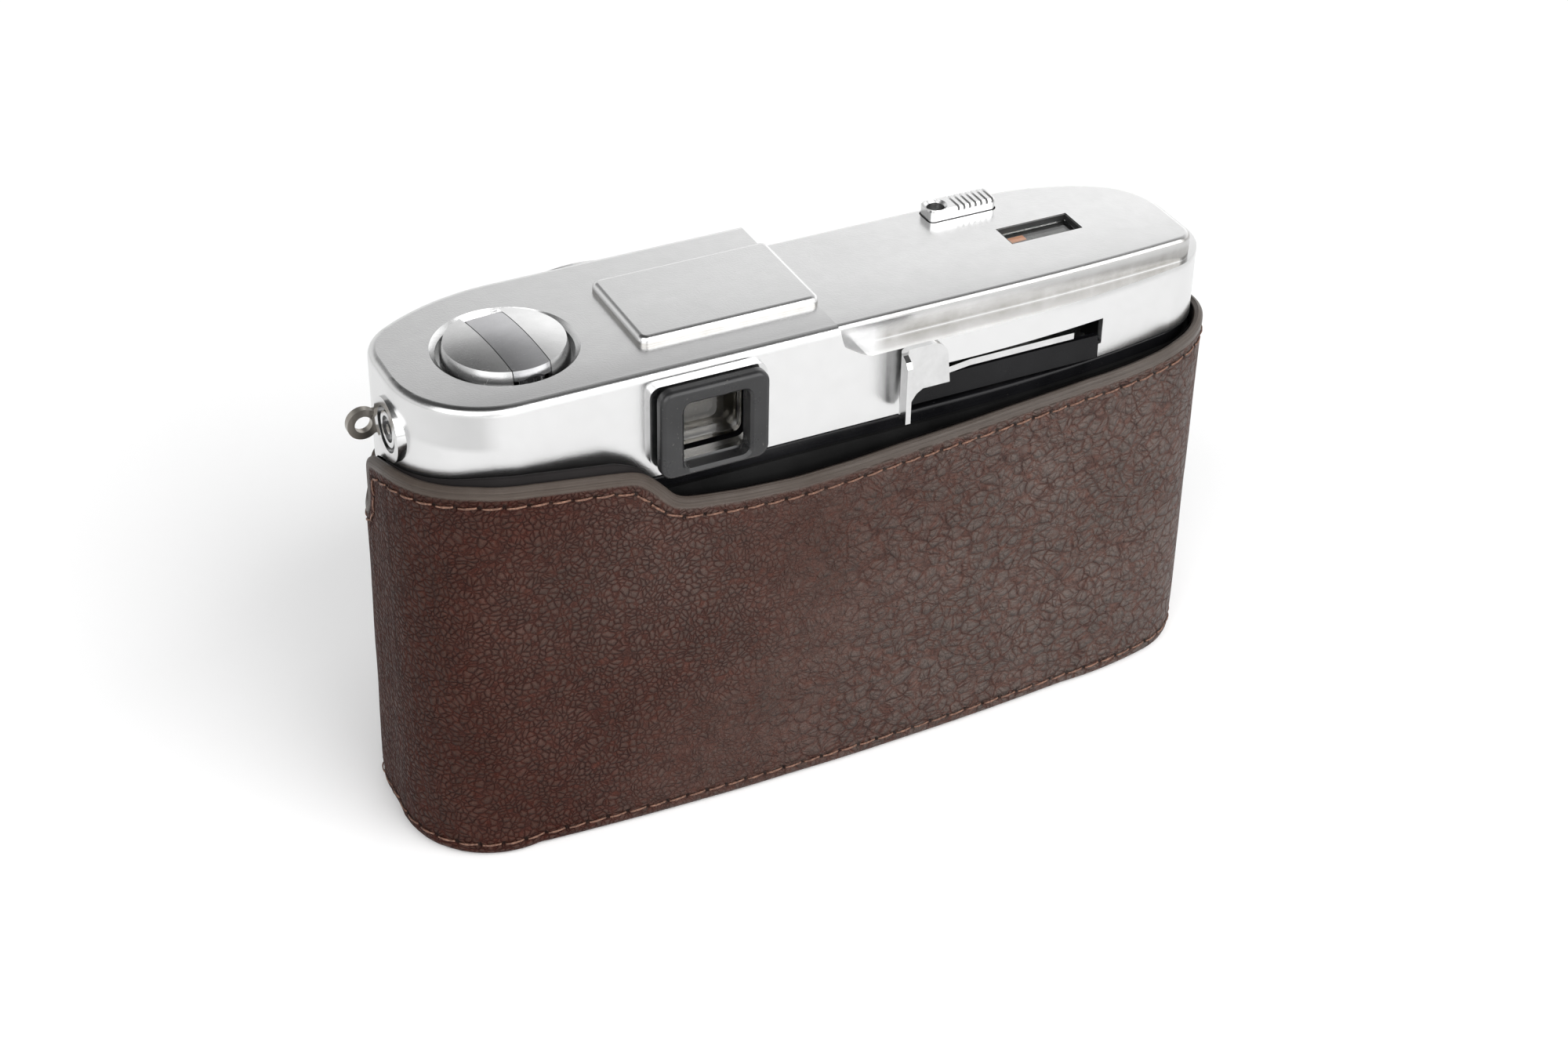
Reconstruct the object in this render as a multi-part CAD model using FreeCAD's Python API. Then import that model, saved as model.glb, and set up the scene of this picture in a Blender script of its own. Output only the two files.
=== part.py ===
import FreeCAD, Part
import math, os
from FreeCAD import Vector as V

os.makedirs("parts", exist_ok=True)

# ---------------------------------------------------------------- driving dimensions (mm)
# Frame: origin at the middle of the case's underside, +Z up, back of the camera towards +Y,
# lens towards -Y, rewind end at +X, wind-lever end at -X.
HW = 63.5            # half width of the camera body
YB, YF = 16.0, -16.0 # back and front faces of the body
Z0 = 4.0             # camera's underside, standing on the floor of the case
Z_BASE = 8.5         # top of the bottom cover
Z_DECK = 57.4        # top of the chassis
ZW = 57.8            # lower edge of the top cover
ZA = 68.5            # ledge at the lever end
ZB = 72.2            # raised platform at the lever end
ZC = 74.2            # higher left part of the top cover
ZD = 75.5            # raised finder plate
TC = 1.1             # sheet thickness of the top cover
PL_IN = 3.4          # set-back of the platform from the walls
X_STEP = 2.6         # where the high part ends
LX, LZ = 20.5, 37.2  # lens axis
R_MOUNT = 24.5
KX, KY = 46.0, 1.0   # rewind knob axis
R_KNOB = 8.85
R_REC = 9.5          # recess round the knob
KROT = 4.9           # crank is parked this many degrees off square
WX, WY = -36.2, 9.0  # wind lever pivot
EX0, EX1, EZ0, EZ1 = 15.0, 31.2, 58.9, 72.7   # eyepiece frame
GAP = 0.3            # camera to case, all round
WALL = 1.5           # leather wall of the case
BULGE = 1.7          # how far the back of the case bows out
SX, SY = -10.0, 0.0  # case screw and tripod socket axis
RX, RY = -30.0, -9.7 # release block centre
DX_, DZ_ = -17.5, 46.5 # speed dial centre
R_DIAL = 9.6
TX, TY = -46.0, 0.6  # take-up spool
PX, PY = -27.0, 4.8  # sprocket
SSY, SSZ = 2.3, 66.4 # flash sync socket, on the rewind end
LUGZ = 64.2          # strap eyelet at the rewind end
LUGZR = 60.2         # strap eyelet at the lever end

CORN = {"br": (14.0, 14.0, 14.0), "bl": (45.0, 12.5, 9.5), "f": (21.8, 12.7, 9.0), "fl": (21.8, 12.7, 9.0)}
CORN_CASE = {"br": (14.0, 14.0, 14.0), "bl": (24.0, 12.5, 11.0), "f": (21.8, 12.7, 9.0), "fl": (21.8, 12.7, 9.0)}
CORN_PLAT = {"br": (12.0, 12.0, 12.0), "bl": (30.0, 4.0, 3.0), "f": (21.0, 12.0, 9.0), "fl": (22.0, 14.0, 11.0)}


def corner(cx, cy, A, B, r1, sx, sy, ins):
    """Two tangent arcs standing in for a quarter ellipse. Returns [(p0, pm, p1), ...] going from the end wall to the long wall."""
    if abs(A - B) < 1e-6:
        arcs = [((0.0, 0.0), A - ins, 0.0, math.pi / 2)]
    else:
        r2 = ((A - r1) ** 2 + B ** 2 - r1 ** 2) / (2 * (B - r1))
        beta = math.atan2(r2 - B, A - r1)
        arcs = [((A - r1, 0.0), r1 - ins, 0.0, beta), ((0.0, B - r2), r2 - ins, beta, math.pi / 2)]
    out = []
    for (ox, oy), r, a0, a1 in arcs:
        am = (a0 + a1) / 2
        out.append([V(cx + sx * (ox + r * math.cos(a)), cy + sy * (oy + r * math.sin(a)), 0) for a in (a0, am, a1)])
    return out


def plan(ins=0.0, bulge=0.0, hw=HW, yb=YB, yf=YF, corn=None, short=1.5):
    """Closed plan outline, inset by ins (negative is outwards). The lever end is 1.5 mm nearer the lens axis side than the rewind end."""
    arcs = []
    for key, sx, sy in (("br", 1, 1), ("bl", -1, 1), ("fl", -1, -1), ("f", 1, -1)):
        A, B, r1 = (corn or CORN)[key]
        y = yb if sy > 0 else yf
        cs = corner(sx * (hw - A - (short if sx < 0 else 0.0)), y - sy * B, A, B, r1, sx, sy, ins)
        if sx * sy < 0:
            cs = [list(reversed(c)) for c in reversed(cs)]
        arcs.append(cs)
    edges = []
    flat = [a for cs in arcs for a in cs]
    n = len(flat)
    idx = 0
    ends = []
    for cs in arcs:
        idx += len(cs)
        ends.append(idx - 1)
    for i, a in enumerate(flat):
        edges.append(Part.Arc(*a).toShape())
        if i in ends:
            p, q = a[2], flat[(i + 1) % n][0]
            if (q - p).Length > 1e-6:
                if i == ends[0] and bulge:
                    m = (p + q) * 0.5 + V(0, bulge, 0)
                    edges.append(Part.Arc(p, m, q).toShape())
                else:
                    edges.append(Part.makeLine(p, q))
    return Part.Wire(Part.__sortEdges__(edges))


def prism(w, z0, z1):
    s = Part.Face(w).extrude(V(0, 0, z1 - z0))
    s.translate(V(0, 0, z0))
    return s


def box(x0, y0, z0, x1, y1, z1):
    return Part.makeBox(x1 - x0, y1 - y0, z1 - z0, V(x0, y0, z0))


def cylz(x, y, z0, z1, r):
    return Part.makeCylinder(r, z1 - z0, V(x, y, z0), V(0, 0, 1))


def cyly(x, z, y0, y1, r):
    """Cylinder along Y from y0 to y1 (y0 < y1)."""
    return Part.makeCylinder(r, y1 - y0, V(x, y0, z), V(0, 1, 0))


def cylx(y, z, x0, x1, r):
    return Part.makeCylinder(r, x1 - x0, V(x0, y, z), V(1, 0, 0))


def poly_xz(pts, y0, y1):
    w = Part.makePolygon([V(x, y0, z) for x, z in pts] + [V(pts[0][0], y0, pts[0][1])])
    return Part.Face(w).extrude(V(0, y1 - y0, 0))


def poly_yz(pts, x0, x1):
    w = Part.makePolygon([V(x0, y, z) for y, z in pts] + [V(x0, pts[0][0], pts[0][1])])
    return Part.Face(w).extrude(V(x1 - x0, 0, 0))


def poly_xy(pts, z0, z1):
    w = Part.makePolygon([V(x, y, z0) for x, y in pts] + [V(pts[0][0], pts[0][1], z0)])
    return Part.Face(w).extrude(V(0, 0, z1 - z0))


def rbox(x0, y0, z0, x1, y1, z1, r, axis="Z"):
    """Box whose four edges along axis are rounded."""
    b = box(x0, y0, z0, x1, y1, z1)
    es = []
    for e in b.Edges:
        d = e.Vertexes[1].Point - e.Vertexes[0].Point
        if abs({"X": d.x, "Y": d.y, "Z": d.z}[axis]) > 1e-6:
            es.append(e)
    return b.makeFillet(r, es)


def fillet_try(s, r, pick, tag=""):
    es = [e for e in s.Edges if e.Length > 1e-4 and not e.Degenerated and pick(e)]
    if not es:
        print("fillet: nothing picked")
        return s
    try:
        t = s.makeFillet(r, es)
        if t.isValid() and t.Volume > 0:
            return t
    except Exception as ex:
        print("fillet failed", tag, r, len(es), ex)
    return s


def solid(s):
    s = s.removeSplitter()
    if s.ShapeType != "Solid" and len(s.Solids) == 1:
        return s.Solids[0]
    return s


def out(name, s, many=False):
    s = solid(s)
    n = len(s.Solids)
    ok = s.isValid()
    if (n != 1 and not many) or not ok or s.Volume < 0.01:
        print("CHECK", name, "solids", n, "valid", ok, "volume", round(s.Volume, 3))
    if many and n > 1:
        s = Part.makeCompound(s.Solids)
    s.exportStep("parts/%s.step" % name)


def zmax(e):
    return e.BoundBox.ZMax


def zmin(e):
    return e.BoundBox.ZMin


# ================================================================ leather half case
CO = -(GAP + WALL)
case = prism(plan(CO, BULGE, corn=CORN_CASE), 0.0, 66.0)
case = fillet_try(case, 1.0, lambda e: zmax(e) < 0.01)
case = case.cut(prism(plan(-GAP, BULGE, corn=CORN_CASE), Z0, 70.0))
# rim: cutters for both ends, the back and the front
case = case.cut(poly_yz([(30, 63.6), (18.5, 63.2), (5.5, 61.9), (-4, 59.2), (-12, 55.2), (-20, 53.0), (-40, 53.0), (-40, 90), (30, 90)], 50, 80))
case = case.cut(poly_yz([(30, 58.2), (18.5, 58.0), (4, 56.6), (-12, 54.4), (-20, 53.0), (-40, 53.0), (-40, 90), (30, 90)], -80, -50))
back_prof = [(50, 62.6), (46, 62.3), (38, 61.3), (35, 60.8), (33.2, 60.2), (31.8, 58.9), (30.2, 57.2), (28.9, 55.6), (27.6, 54.9), (26.2, 54.7), (19.2, 53.9), (10.4, 53.4), (1, 53.9), (-6.5, 54.6), (-13, 54.8),
             (-24, 55.4), (-37.5, 55.9), (-46, 56.3), (-50, 56.5), (-50, 90), (50, 90)]
case = case.cut(poly_xz(back_prof, 0, 40))
case = case.cut(poly_xz([(50, 53.0), (-50, 53.0), (-50, 90), (50, 90)], -40, 0))
# clearance for the lens, the speed dial and the lens release in the front wall
RU = 27.6
case = case.cut(cyly(LX, LZ, -40, -10, RU)).cut(box(LX - RU, -40, LZ, LX + RU, -10, 90))
case = case.cut(cyly(DX_, DZ_, -40, -10, 12.4)).cut(box(DX_ - 12.4, -40, DZ_, DX_ + 20, -10, 90)).cut(box(-14, -40, 34.4, 0, -10, 90))
# slots in both ends under the strap eyelets
for s in (1, -1):
    x0, x1 = sorted((s * 58.0, s * 80.0))
    case = case.cut(box(x0, -10.5, 52.9, x1, -4.0, 80)).cut(cylx(-7.25, 52.9, x0, x1, 3.25))
# seat of the case screw
case = case.cut(cylz(SX, SY, -1, 2.5, 9.0)).cut(cylz(SX, SY, 0, Z0 + 1, 4.2))
out("leather_case", case)

# stiff board glued into the bottom of the case would be hidden: the screw's metal eyelet shows
out("case_screw_eyelet", cylz(SX, SY, 2.5, Z0, 4.2).cut(cylz(SX, SY, 2.0, 5, 3.35)))
scr = cylz(SX, SY, 0.3, 2.4, 8.7)
scr = fillet_try(scr, 0.4, lambda e: zmax(e) < 0.31)
scr = scr.cut(box(SX - 6, SY - 0.8, 0, SX + 6, SY + 0.8, 1.3))
scr = scr.fuse(cylz(SX, SY, 2.4, 8.4, 3.1))
out("case_screw", scr)

# ================================================================ lower body
bc = prism(plan(0), Z0, Z_BASE)
bc = fillet_try(bc, 1.0, lambda e: zmax(e) < Z0 + 0.01)
bc = bc.cut(prism(plan(1.2), Z0 + 1.2, Z_BASE + 1))
bc = bc.cut(cylz(SX, SY, 0, 20, 7.0))
RWX, RWY = -27.0, -6.0
bc = bc.cut(cylz(RWX, RWY, 0, 20, 2.6))
out("bottom_cover", bc)
tb = cylz(SX, SY, Z0, Z_BASE, 7.0).fuse(cylz(SX, SY, Z0 + 1.2, Z_BASE, 9.5))
tb = tb.cut(cylz(SX, SY, 0, Z_BASE - 0.0 + 1, 3.175))
out("tripod_socket", tb)
# rewind release button in the underside
rb = cylz(RWX, RWY, Z0 + 0.1, Z0 + 1.4, 2.35).fuse(cylz(RWX, RWY, Z0 + 1.3, Z0 + 2.2, 3.2))
out("rewind_release_button", rb)

ch = prism(plan(0.75), Z_BASE, Z_DECK).common(box(-80, -20, 0, 80, 2.6, 100))
ch = ch.fuse(prism(plan(2.9), Z_BASE, Z_DECK).common(box(-80, 2.6, 0, 80, 20, 100)))
ch = ch.cut(cylz(KX, KY, 12, Z_DECK - 1.2, 13.0)).cut(box(KX - 12.9, KY, 12, KX + 12.0, 20, Z_DECK - 1.2))
ch = ch.cut(cylz(KX, KY, 50, 60, 4.6))
ch = ch.cut(cylz(TX, TY, 12, Z_DECK - 1.2, 11.2)).cut(box(TX - 9, TY, 12, TX + 11.2, 20, Z_DECK - 1.2))
ch = ch.cut(cylz(PX, PY, 12, Z_DECK - 1.2, 6.4)).cut(box(PX - 6.4, PY, 12, PX + 6.4, 20, Z_DECK - 1.2))
ch = ch.cut(cylz(TX, TY, 50, 60, 2.6)).cut(cylz(PX, PY, 50, 60, 2.0))
ch = ch.cut(cylz(TX, TY, 5, 14, 2.6)).cut(cylz(PX, PY, 5, 14, 2.0))
ch = ch.cut(cyly(LX, LZ, -20, -10, 16.6))
ch = ch.cut(box(9.0, -15.3 + 2, 23.5, 32.4, 5.8, 51.0))
SHX, SHZ = 3.6, 33.4
ch = ch.cut(cyly(SHX, SHZ, 6.4, 8.8, 23.3))
ch = ch.cut(box(11.5, 5.0, 25.2, 29.5, 20, 49.2))
ch = ch.cut(box(-12, -13, 24, 9.5, 5.6, 60))
ch = ch.cut(box(LX - 10, 11.6, 21.5, LX + 10, 20, 53.0))          # pressure-plate seat
ch = ch.cut(cyly(DX_, DZ_, -20, -12.9, 3.2))
ch = ch.cut(cylz(RX, RY, 50, 60, 2.2))
ch = ch.cut(cylz(SX, SY, 0, 9.6, 3.6)).cut(cylz(RWX, RWY, 0, 9.2, 3.6))
ch = ch.cut(cyly(-8.2, 38.0, -20, -12.3, 2.0))
ch = ch.cut(cyly(SHX, SHZ, 5.0, 9.65, 1.2))
out("chassis", ch)

bk = prism(plan(0.65), Z_BASE + 0.2, Z_DECK - 0.2).cut(prism(plan(2.6), 0, 100)).common(box(-80, 3.0, 0, 80, 30, 100))
bk = fillet_try(bk, 0.5, lambda e: zmin(e) > Z_DECK - 0.21 and e.BoundBox.YMax > 15)
out("back_cover", bk)
sk = prism(plan(0.0), Z_BASE + 0.8, 55.2).cut(prism(plan(0.64), 0, 100)).common(box(-80, 3.2, 0, 80, 30, 100))
out("back_leatherette", sk)
sk = prism(plan(0.0), Z_BASE + 0.4, 57.0).cut(prism(plan(0.75), 0, 100)).common(box(-80, -30, 0, 80, 2.4, 100))
sk = sk.cut(cyly(LX, LZ, -40, -10, R_MOUNT + 1.2)).cut(cyly(DX_, DZ_, -40, -10, R_DIAL + 0.6)).cut(cyly(-8.2, 38.0, -40, -10, 3.4)).cut(box(LX - 9, -40, 50, LX + 9, -10, 70))
sk = sk.cut(box(-12.0, -40, 38, 0, -10, 44.5))
out("front_leatherette", sk, many=True)
pp = box(LX - 9.6, 11.7, 22.0, LX + 9.6, 12.7, 52.4)
out("pressure_plate", pp)

# ================================================================ top cover
tc = prism(plan(0), ZW, ZA)
PLAT = dict(short=0.0, hw=58.4, yb=YB - PL_IN, yf=YF + PL_IN, corn=CORN_PLAT)
plat = prism(plan(0, **PLAT), ZA - 2, ZB)
plat = fillet_try(plat, 0.8, lambda e: zmin(e) > ZB - 0.01)
tc = tc.fuse(plat)
high = prism(plan(0), ZW, ZC)
high = high.common(poly_xz([(80, 0), (80, 90), (X_STEP + 0.2, 90), (X_STEP + 0.2, ZC - 0.2), (X_STEP - 0.2, ZB), (X_STEP - 0.6, ZB - 1.2), (-0.2, ZA + 1.0), (-1.6, ZA + 0.25), (-3.0, ZA - 0.2), (-3.0, 0)], -40, 40))
high = fillet_try(high, 1.15, lambda e: zmin(e) > ZC - 0.01 and e.BoundBox.XMax > X_STEP + 1.5)
tc = tc.fuse(high)
tc = tc.removeSplitter()
tc = fillet_try(tc, 1.7, lambda e: abs(zmin(e) - ZA) < 0.01 and abs(zmax(e) - ZA) < 0.01 and e.BoundBox.XMax < X_STEP and
                (e.BoundBox.YMax > YB - 0.05 or e.BoundBox.YMin < YF + 0.05 or e.BoundBox.XMin < -HW + 0.05))
fp = box(2.3, -8.4, ZC - 1, 29.6, 9.2, ZD)
fp = fillet_try(fp, 1.3, lambda e: e.BoundBox.ZLength > 2)
fp = fillet_try(fp, 0.8, lambda e: zmin(e) > ZD - 0.01)
tc = tc.fuse(fp)
# inside
cav = prism(plan(TC), 0, ZA - TC)
cav = cav.fuse(prism(plan(TC, **PLAT), ZA - 5, ZB - TC))
cav = cav.fuse(prism(plan(TC), 0, ZC - TC).common(box(X_STEP + 1.6, -40, 0, 80, 40, 100)))
cup = cylz(KX, KY, ZC - 4.7, ZC, R_REC + 1.0)
tc = tc.cut(cav).fuse(cup.common(prism(plan(0.3), 0, 100)))
tc = tc.cut(cylz(KX, KY, ZC - 3.7, ZC + 2, R_REC)).cut(Part.makeCone(R_REC - 0.01, R_REC + 0.75, 0.75, V(KX, KY, ZC - 0.75 + 0.01), V(0, 0, 1)))
tc = tc.cut(cylz(KX, KY, 60, ZC, 4.4))
# eyepiece hole
tc = tc.cut(rbox(16.6, 10, EZ0 + 1.2, 29.0, 20, 71.0, 1.5, "Y"))
# lever slot: narrow above, wide below, in the back wall
tc = tc.cut(box(-40.5, 13.0, ZW - 1, -8.6, 20, 62.2)).cut(box(-41.0, 13.0, 60, -10.4, 20, 64.2))
# frame-counter window
WX0, WX1, WY0, WY1 = -44.2, -32.3, -2.4, 2.5
tc = tc.cut(box(WX0, WY0, ZB - 3, WX1, WY1, ZB + 2))
# release block opening
tc = tc.cut(rbox(RX - 5.7, RY - 2.1, ZB - 4, RX + 5.7, RY + 2.1, ZB + 4, 1.0))
# sync socket and strap lug openings in the ends
tc = tc.cut(cylx(SSY, SSZ, 60, 66, 4.6))
for s in (1, -1):
    x0, x1 = sorted((s * 60.0, s * 65.0))
    z = LUGZ if s > 0 else LUGZR
    tc = tc.cut(box(x0, -4.4, z - 1.7, x1, -3.3, z + 1.7))
tc = tc.cut(cyly(LX, LZ, -17, -15.2, 21.05)).cut(cylz(RX, RY, 66.5, ZB - 2.6, 2.45))
out("top_cover", tc)

# black shield behind the lower part of the lever slot
sh = box(-40.2, 14.2, ZW + 0.1, -8.9, 15.0, 61.7)
out("lever_slot_shield", sh)
out("counter_window", box(WX0 + 0.05, WY0 + 0.05, ZB - 1.6, WX1 - 0.05, WY1 - 0.05, ZB - 1.0))

# ================================================================ rewind gear
def spin(s):
    s.rotate(V(KX, KY, 0), V(0, 0, 1), KROT)
    return s

# lifting sleeve, fixed bearing, shaft with fork
out("rewind_bearing", cylz(KX, KY, Z_DECK, 63.5, 7.0).cut(cylz(KX, KY, 50, 70, 4.1)))
out("rewind_sleeve", cylz(KX, KY, 58.5, ZC - 4.3, 4.05).cut(cylz(KX, KY, 50, 80, 2.56)))
sh = cylz(KX, KY, 52.0, ZC - 3.4, 2.5)
sh = sh.fuse(box(KX - 3.4, KY - 0.9, 46.5, KX + 3.4, KY + 0.9, 52.0).common(cylz(KX, KY, 40, 60, 3.4)))
out("rewind_shaft", sh)
# knob: bevelled skirt, domed top, through channel for the crank
zk0, zk1 = ZC - 3.4, 75.95
rs = ((R_KNOB - 0.5) ** 2 + 0.75 ** 2) / (2 * 0.75)
dome = cylz(KX, KY, zk0, zk0 + 2.5, R_KNOB).fuse(Part.makeCone(R_KNOB, R_KNOB - 0.65, zk1 - zk0 - 2.5, V(KX, KY, zk0 + 2.5), V(0, 0, 1)))
dome = dome.common(Part.makeSphere(rs, V(KX, KY, zk1 - rs)))
ARM_W = 2.75
PYV, PZV = KY - 6.1, 75.0 - 0.35      # crank pin
knob = dome.cut(box(KX - ARM_W - 0.12, KY - 20, PZV - 0.95, KX + ARM_W + 0.12, KY + 20, 80))
knob = knob.cut(box(KX - ARM_W - 0.12, KY + 3.6, zk0 + 0.7, KX + ARM_W + 0.12, KY + 20, 80))
knob = knob.cut(cylx(PYV, PZV, KX - 5, KX + 5, 0.5))
out("rewind_knob", spin(knob))
out("crank_pin", spin(cylx(PYV, PZV, KX - 5, KX + 5, 0.5)))
arm = box(KX - ARM_W, PYV, PZV - 0.85, KX + ARM_W, KY + 8.6, 80)
arm = arm.fuse(cylx(PYV, PZV, KX - ARM_W, KX + ARM_W, 0.85))
arm = arm.common(dome.fuse(cylx(PYV, PZV, KX - ARM_W, KX + ARM_W, 0.85)))
arm = arm.cut(cylx(PYV, PZV, KX - 5, KX + 5, 0.56))
RLY = KY + 6.5
arm = arm.fuse(cylz(KX - 0.6, RLY, zk0 + 1.0, PZV - 0.5, 0.6))
out("rewind_crank", spin(arm))
rol = cylz(KX - 0.6, RLY, zk0 + 0.95, PZV - 1.0, 1.75)
for i in range(20):
    a = math.radians(i * 18)
    rol = rol.cut(cylz(KX - 0.6 + 1.83 * math.cos(a), RLY + 1.83 * math.sin(a), 60, 80, 0.16))
rol = rol.cut(cylz(KX - 0.6, RLY, 60, 80, 0.66))
out("crank_roller", spin(rol))

# ================================================================ wind lever
AZ0, AZ1 = 62.35, 63.35
lev = poly_xy([(WX - 3.0, WY - 2.6), (WX - 3.0, WY + 3.2), (WX + 0.4, WY + 6.3), (-18.6, 15.3), (-14.6, 15.9), (-13.0, 17.5), (-10.8, 17.5), (-10.8, 16.0), (-13.6, 13.4), (-17.0, 12.4),
               (WX + 3.0, WY + 0.5), (WX + 2.6, WY - 2.6)], AZ0, AZ1)
lev = lev.fuse(cylz(WX, WY, AZ0, AZ1, 4.2))
# thumb tab: sheet bent outwards at its inner end, with round upper corners and a slanted lower edge
tab = poly_xy([(-13.9, 17.0), (-5.6, 17.0), (-5.6, 20.4), (-6.4, 20.4), (-6.4, 17.9), (-13.9, 17.9)], 58.8, 69.3)
tab = fillet_try(tab, 1.1, lambda e: e.BoundBox.ZLength > 10 and abs(e.BoundBox.XMin + 6.4) < 0.01 and abs(e.BoundBox.YMin - 17.9) < 0.01, "tab1")
tab = fillet_try(tab, 1.9, lambda e: e.BoundBox.ZLength > 10 and abs(e.BoundBox.XMin + 5.6) < 0.01 and abs(e.BoundBox.YMin - 17.0) < 0.01, "tab2")
face = poly_xz([(-5.5, 58.8), (-5.5, 69.3), (-13.2, 69.3), (-13.9, 62.35), (-9.6, 62.35), (-8.6, 61.7), (-8.0, 60.8), (-7.4, 59.7), (-6.8, 58.8)], 16.5, 20.5)
face = fillet_try(face, 2.6, lambda e: e.BoundBox.YLength > 3 and e.BoundBox.ZMin > 69.2 and e.BoundBox.XMax < -13, "tab3")
side = poly_yz([(16.5, 58.8), (20.5, 58.8), (20.5, 67.6), (19.9, 68.6), (18.9, 69.2), (17.8, 69.4), (16.5, 69.4)], -15, -5)
tab = tab.common(face).common(side)
fl = tab
lev = lev.fuse(tab).fuse(fl)
lev = lev.cut(cylz(WX, WY, 50, 80, 2.4))
out("wind_lever", lev)
wsh = cylz(WX, WY, Z_DECK + 0.3, 65.8, 2.4).fuse(cylz(WX, WY, AZ1, 65.0, 3.6))


def gear(x, y, z0, z1, r, teeth, hole, depth=0.8):
    pts = []
    for i in range(teeth * 4):
        a = 2 * math.pi * i / (teeth * 4)
        rr = r if i % 4 in (0, 1) else r - depth
        pts.append((x + rr * math.cos(a), y + rr * math.sin(a)))
    g = poly_xy(pts, z0, z1)
    return g.cut(cylz(x, y, z0 - 1, z1 + 1, hole)) if hole else g


out("wind_shaft", wsh.fuse(gear(WX, WY, Z_DECK + 0.6, Z_DECK + 1.8, 4.9, 20, 0)))
# take-up spool and sprocket
sp = cylz(TX, TY, 13.0, 54.5, 4.6).fuse(cylz(TX, TY, 13.0, 14.2, 10.4)).fuse(cylz(TX, TY, 53.3, 54.5, 10.4))
sp = sp.fuse(cylz(TX, TY, 9.2, 59.0, 2.5)).cut(box(TX - 6, TY - 0.7, 24, TX + 6, TY + 0.7, 44).cut(cylz(TX, TY, 20, 50, 2.6)))
out("take_up_spool", sp)
sk = cylz(PX, PY, 9.2, 59.0, 1.9).fuse(cylz(PX, PY, 16.5, 51.0, 4.3))
for zz in (19.6, 48.0):
    for i in range(8):
        a = math.radians(i * 45)
        c = Part.makeCone(0.75, 0.35, 1.25, V(PX + 4.05 * math.cos(a), PY + 4.05 * math.sin(a), zz), V(math.cos(a), math.sin(a), 0))
        sk = sk.fuse(c)
out("film_sprocket", sk)
# frame counter
CX_, CY_ = -38.2, -3.3
out("frame_counter_disc", cylz(CX_, CY_, 68.1, 68.6, 7.3).fuse(cylz(CX_, CY_, 62.0, 68.1, 1.6)))
out("frame_counter_post", cylz(CX_, CY_, Z_DECK, 63.5, 3.2).cut(cylz(CX_, CY_, 61.8, 70, 1.66)))
out("counter_pointer", poly_xy([(-38.6, -2.3), (-38.0, -2.3), (-36.6, 2.4), (-37.2, 2.4)], 70.0, 70.3).fuse(box(-40.4, 2.0, 70.0, -36.0, 3.6, 70.3)).fuse(box(-37.6, 3.0, 70.0, -36.4, 4.0, ZB - TC)))

# ================================================================ shutter release
rl = rbox(RX - 5.5, RY - 1.9, ZB - 1.6, RX + 5.5, RY + 1.9, ZB + 1.8, 0.8)
rl = rl.makeChamfer(0.25, [e for e in rl.Edges if zmin(e) > ZB + 1.79])
HX = RX + 3.75
for i in range(7):
    x = RX + 0.9 - i * 0.95
    rl = rl.cut(box(x - 0.2, RY - 3, ZB + 1.15, x + 0.2, RY + 3, ZB + 3))
rl = rl.fuse(rbox(RX - 1.0, RY - 1.6, ZB - 2.6, RX + 6.3, RY + 2.5, ZB - 1.6, 1.0)).fuse(box(RX - 1.8, RY - 1.6, ZB - 2.6, RX + 1.8, RY + 1.6, ZB - 1.5))
rl = rl.fuse(cylz(RX, RY, 55.5, ZB - 2.6, 1.5))
rl = rl.cut(cylz(HX, RY, ZB - 2.2, ZB + 3, 1.35)).cut(Part.makeCone(1.35, 1.75, 0.4, V(HX, RY, ZB + 1.41), V(0, 0, 1)))
out("release_button", rl)
out("release_spring", cylz(RX, RY, Z_DECK + 1.6, ZB - 4.2, 2.4).cut(cylz(RX, RY, 50, 80, 1.85)))
out("release_guide", cylz(RX, RY, Z_DECK, Z_DECK + 1.5, 3.6).cut(cylz(RX, RY, 50, 80, 1.56)))

# ================================================================ finder
ep = rbox(EX0 - 0.7, YB, EZ0 + 0.8, EX1 + 0.6, YB + 0.9, EZ1 - 0.2, 1.6, "Y")
ep = ep.cut(box(16.6, 0, EZ0 + 1.2, 29.0, 30, 71.2))
out("eyepiece_rail_plate", ep)
FY1 = 19.5
fr = rbox(EX0, YB + 1.9, EZ0, EX1, FY1, EZ1, 1.9, "Y").fuse(rbox(EX0 + 0.9, YB + 0.9, EZ0 + 0.4, EX1 - 0.9, YB + 1.9, EZ1 - 0.8, 1.6, "Y"))
fr = fr.cut(rbox(17.9, 0, EZ0 + 1.0, 27.8, 30, 70.4, 1.2, "Y"))
fr = fillet_try(fr, 0.75, lambda e: e.BoundBox.YMin > FY1 - 0.01 and (e.BoundBox.XMin < EX0 + 2 or e.BoundBox.XMax > EX1 - 2 or e.BoundBox.ZMax > EZ1 - 0.1 or e.BoundBox.ZMin < EZ0 + 0.1) and not (e.BoundBox.XMin > 17.5 and e.BoundBox.XMax < 28.0 and e.BoundBox.ZMin > EZ0 + 0.6 and e.BoundBox.ZMax < 70.5), "frame")
try:
    fr = fr.makeChamfer(0.4, [e for e in fr.Edges if e.BoundBox.YMin > FY1 - 0.01 and e.BoundBox.XMin > 17.8 and e.BoundBox.XMax < 27.9 and e.BoundBox.ZMax < 70.45 and e.BoundBox.ZMin > EZ0 + 0.95])
except Exception as err:
    print("CHECK frame chamfer", err)
out("eyepiece_frame", fr)
gl = rbox(16.7, 12.6, EZ0 + 1.3, 28.9, 13.8, 70.9, 1.4, "Y")
out("eyepiece_lens", gl)
out("eyepiece_prism", poly_xy([(16.8, 12.0), (28.8, 12.0), (28.8, -0.2)], 59.5, 70.8))
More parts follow.
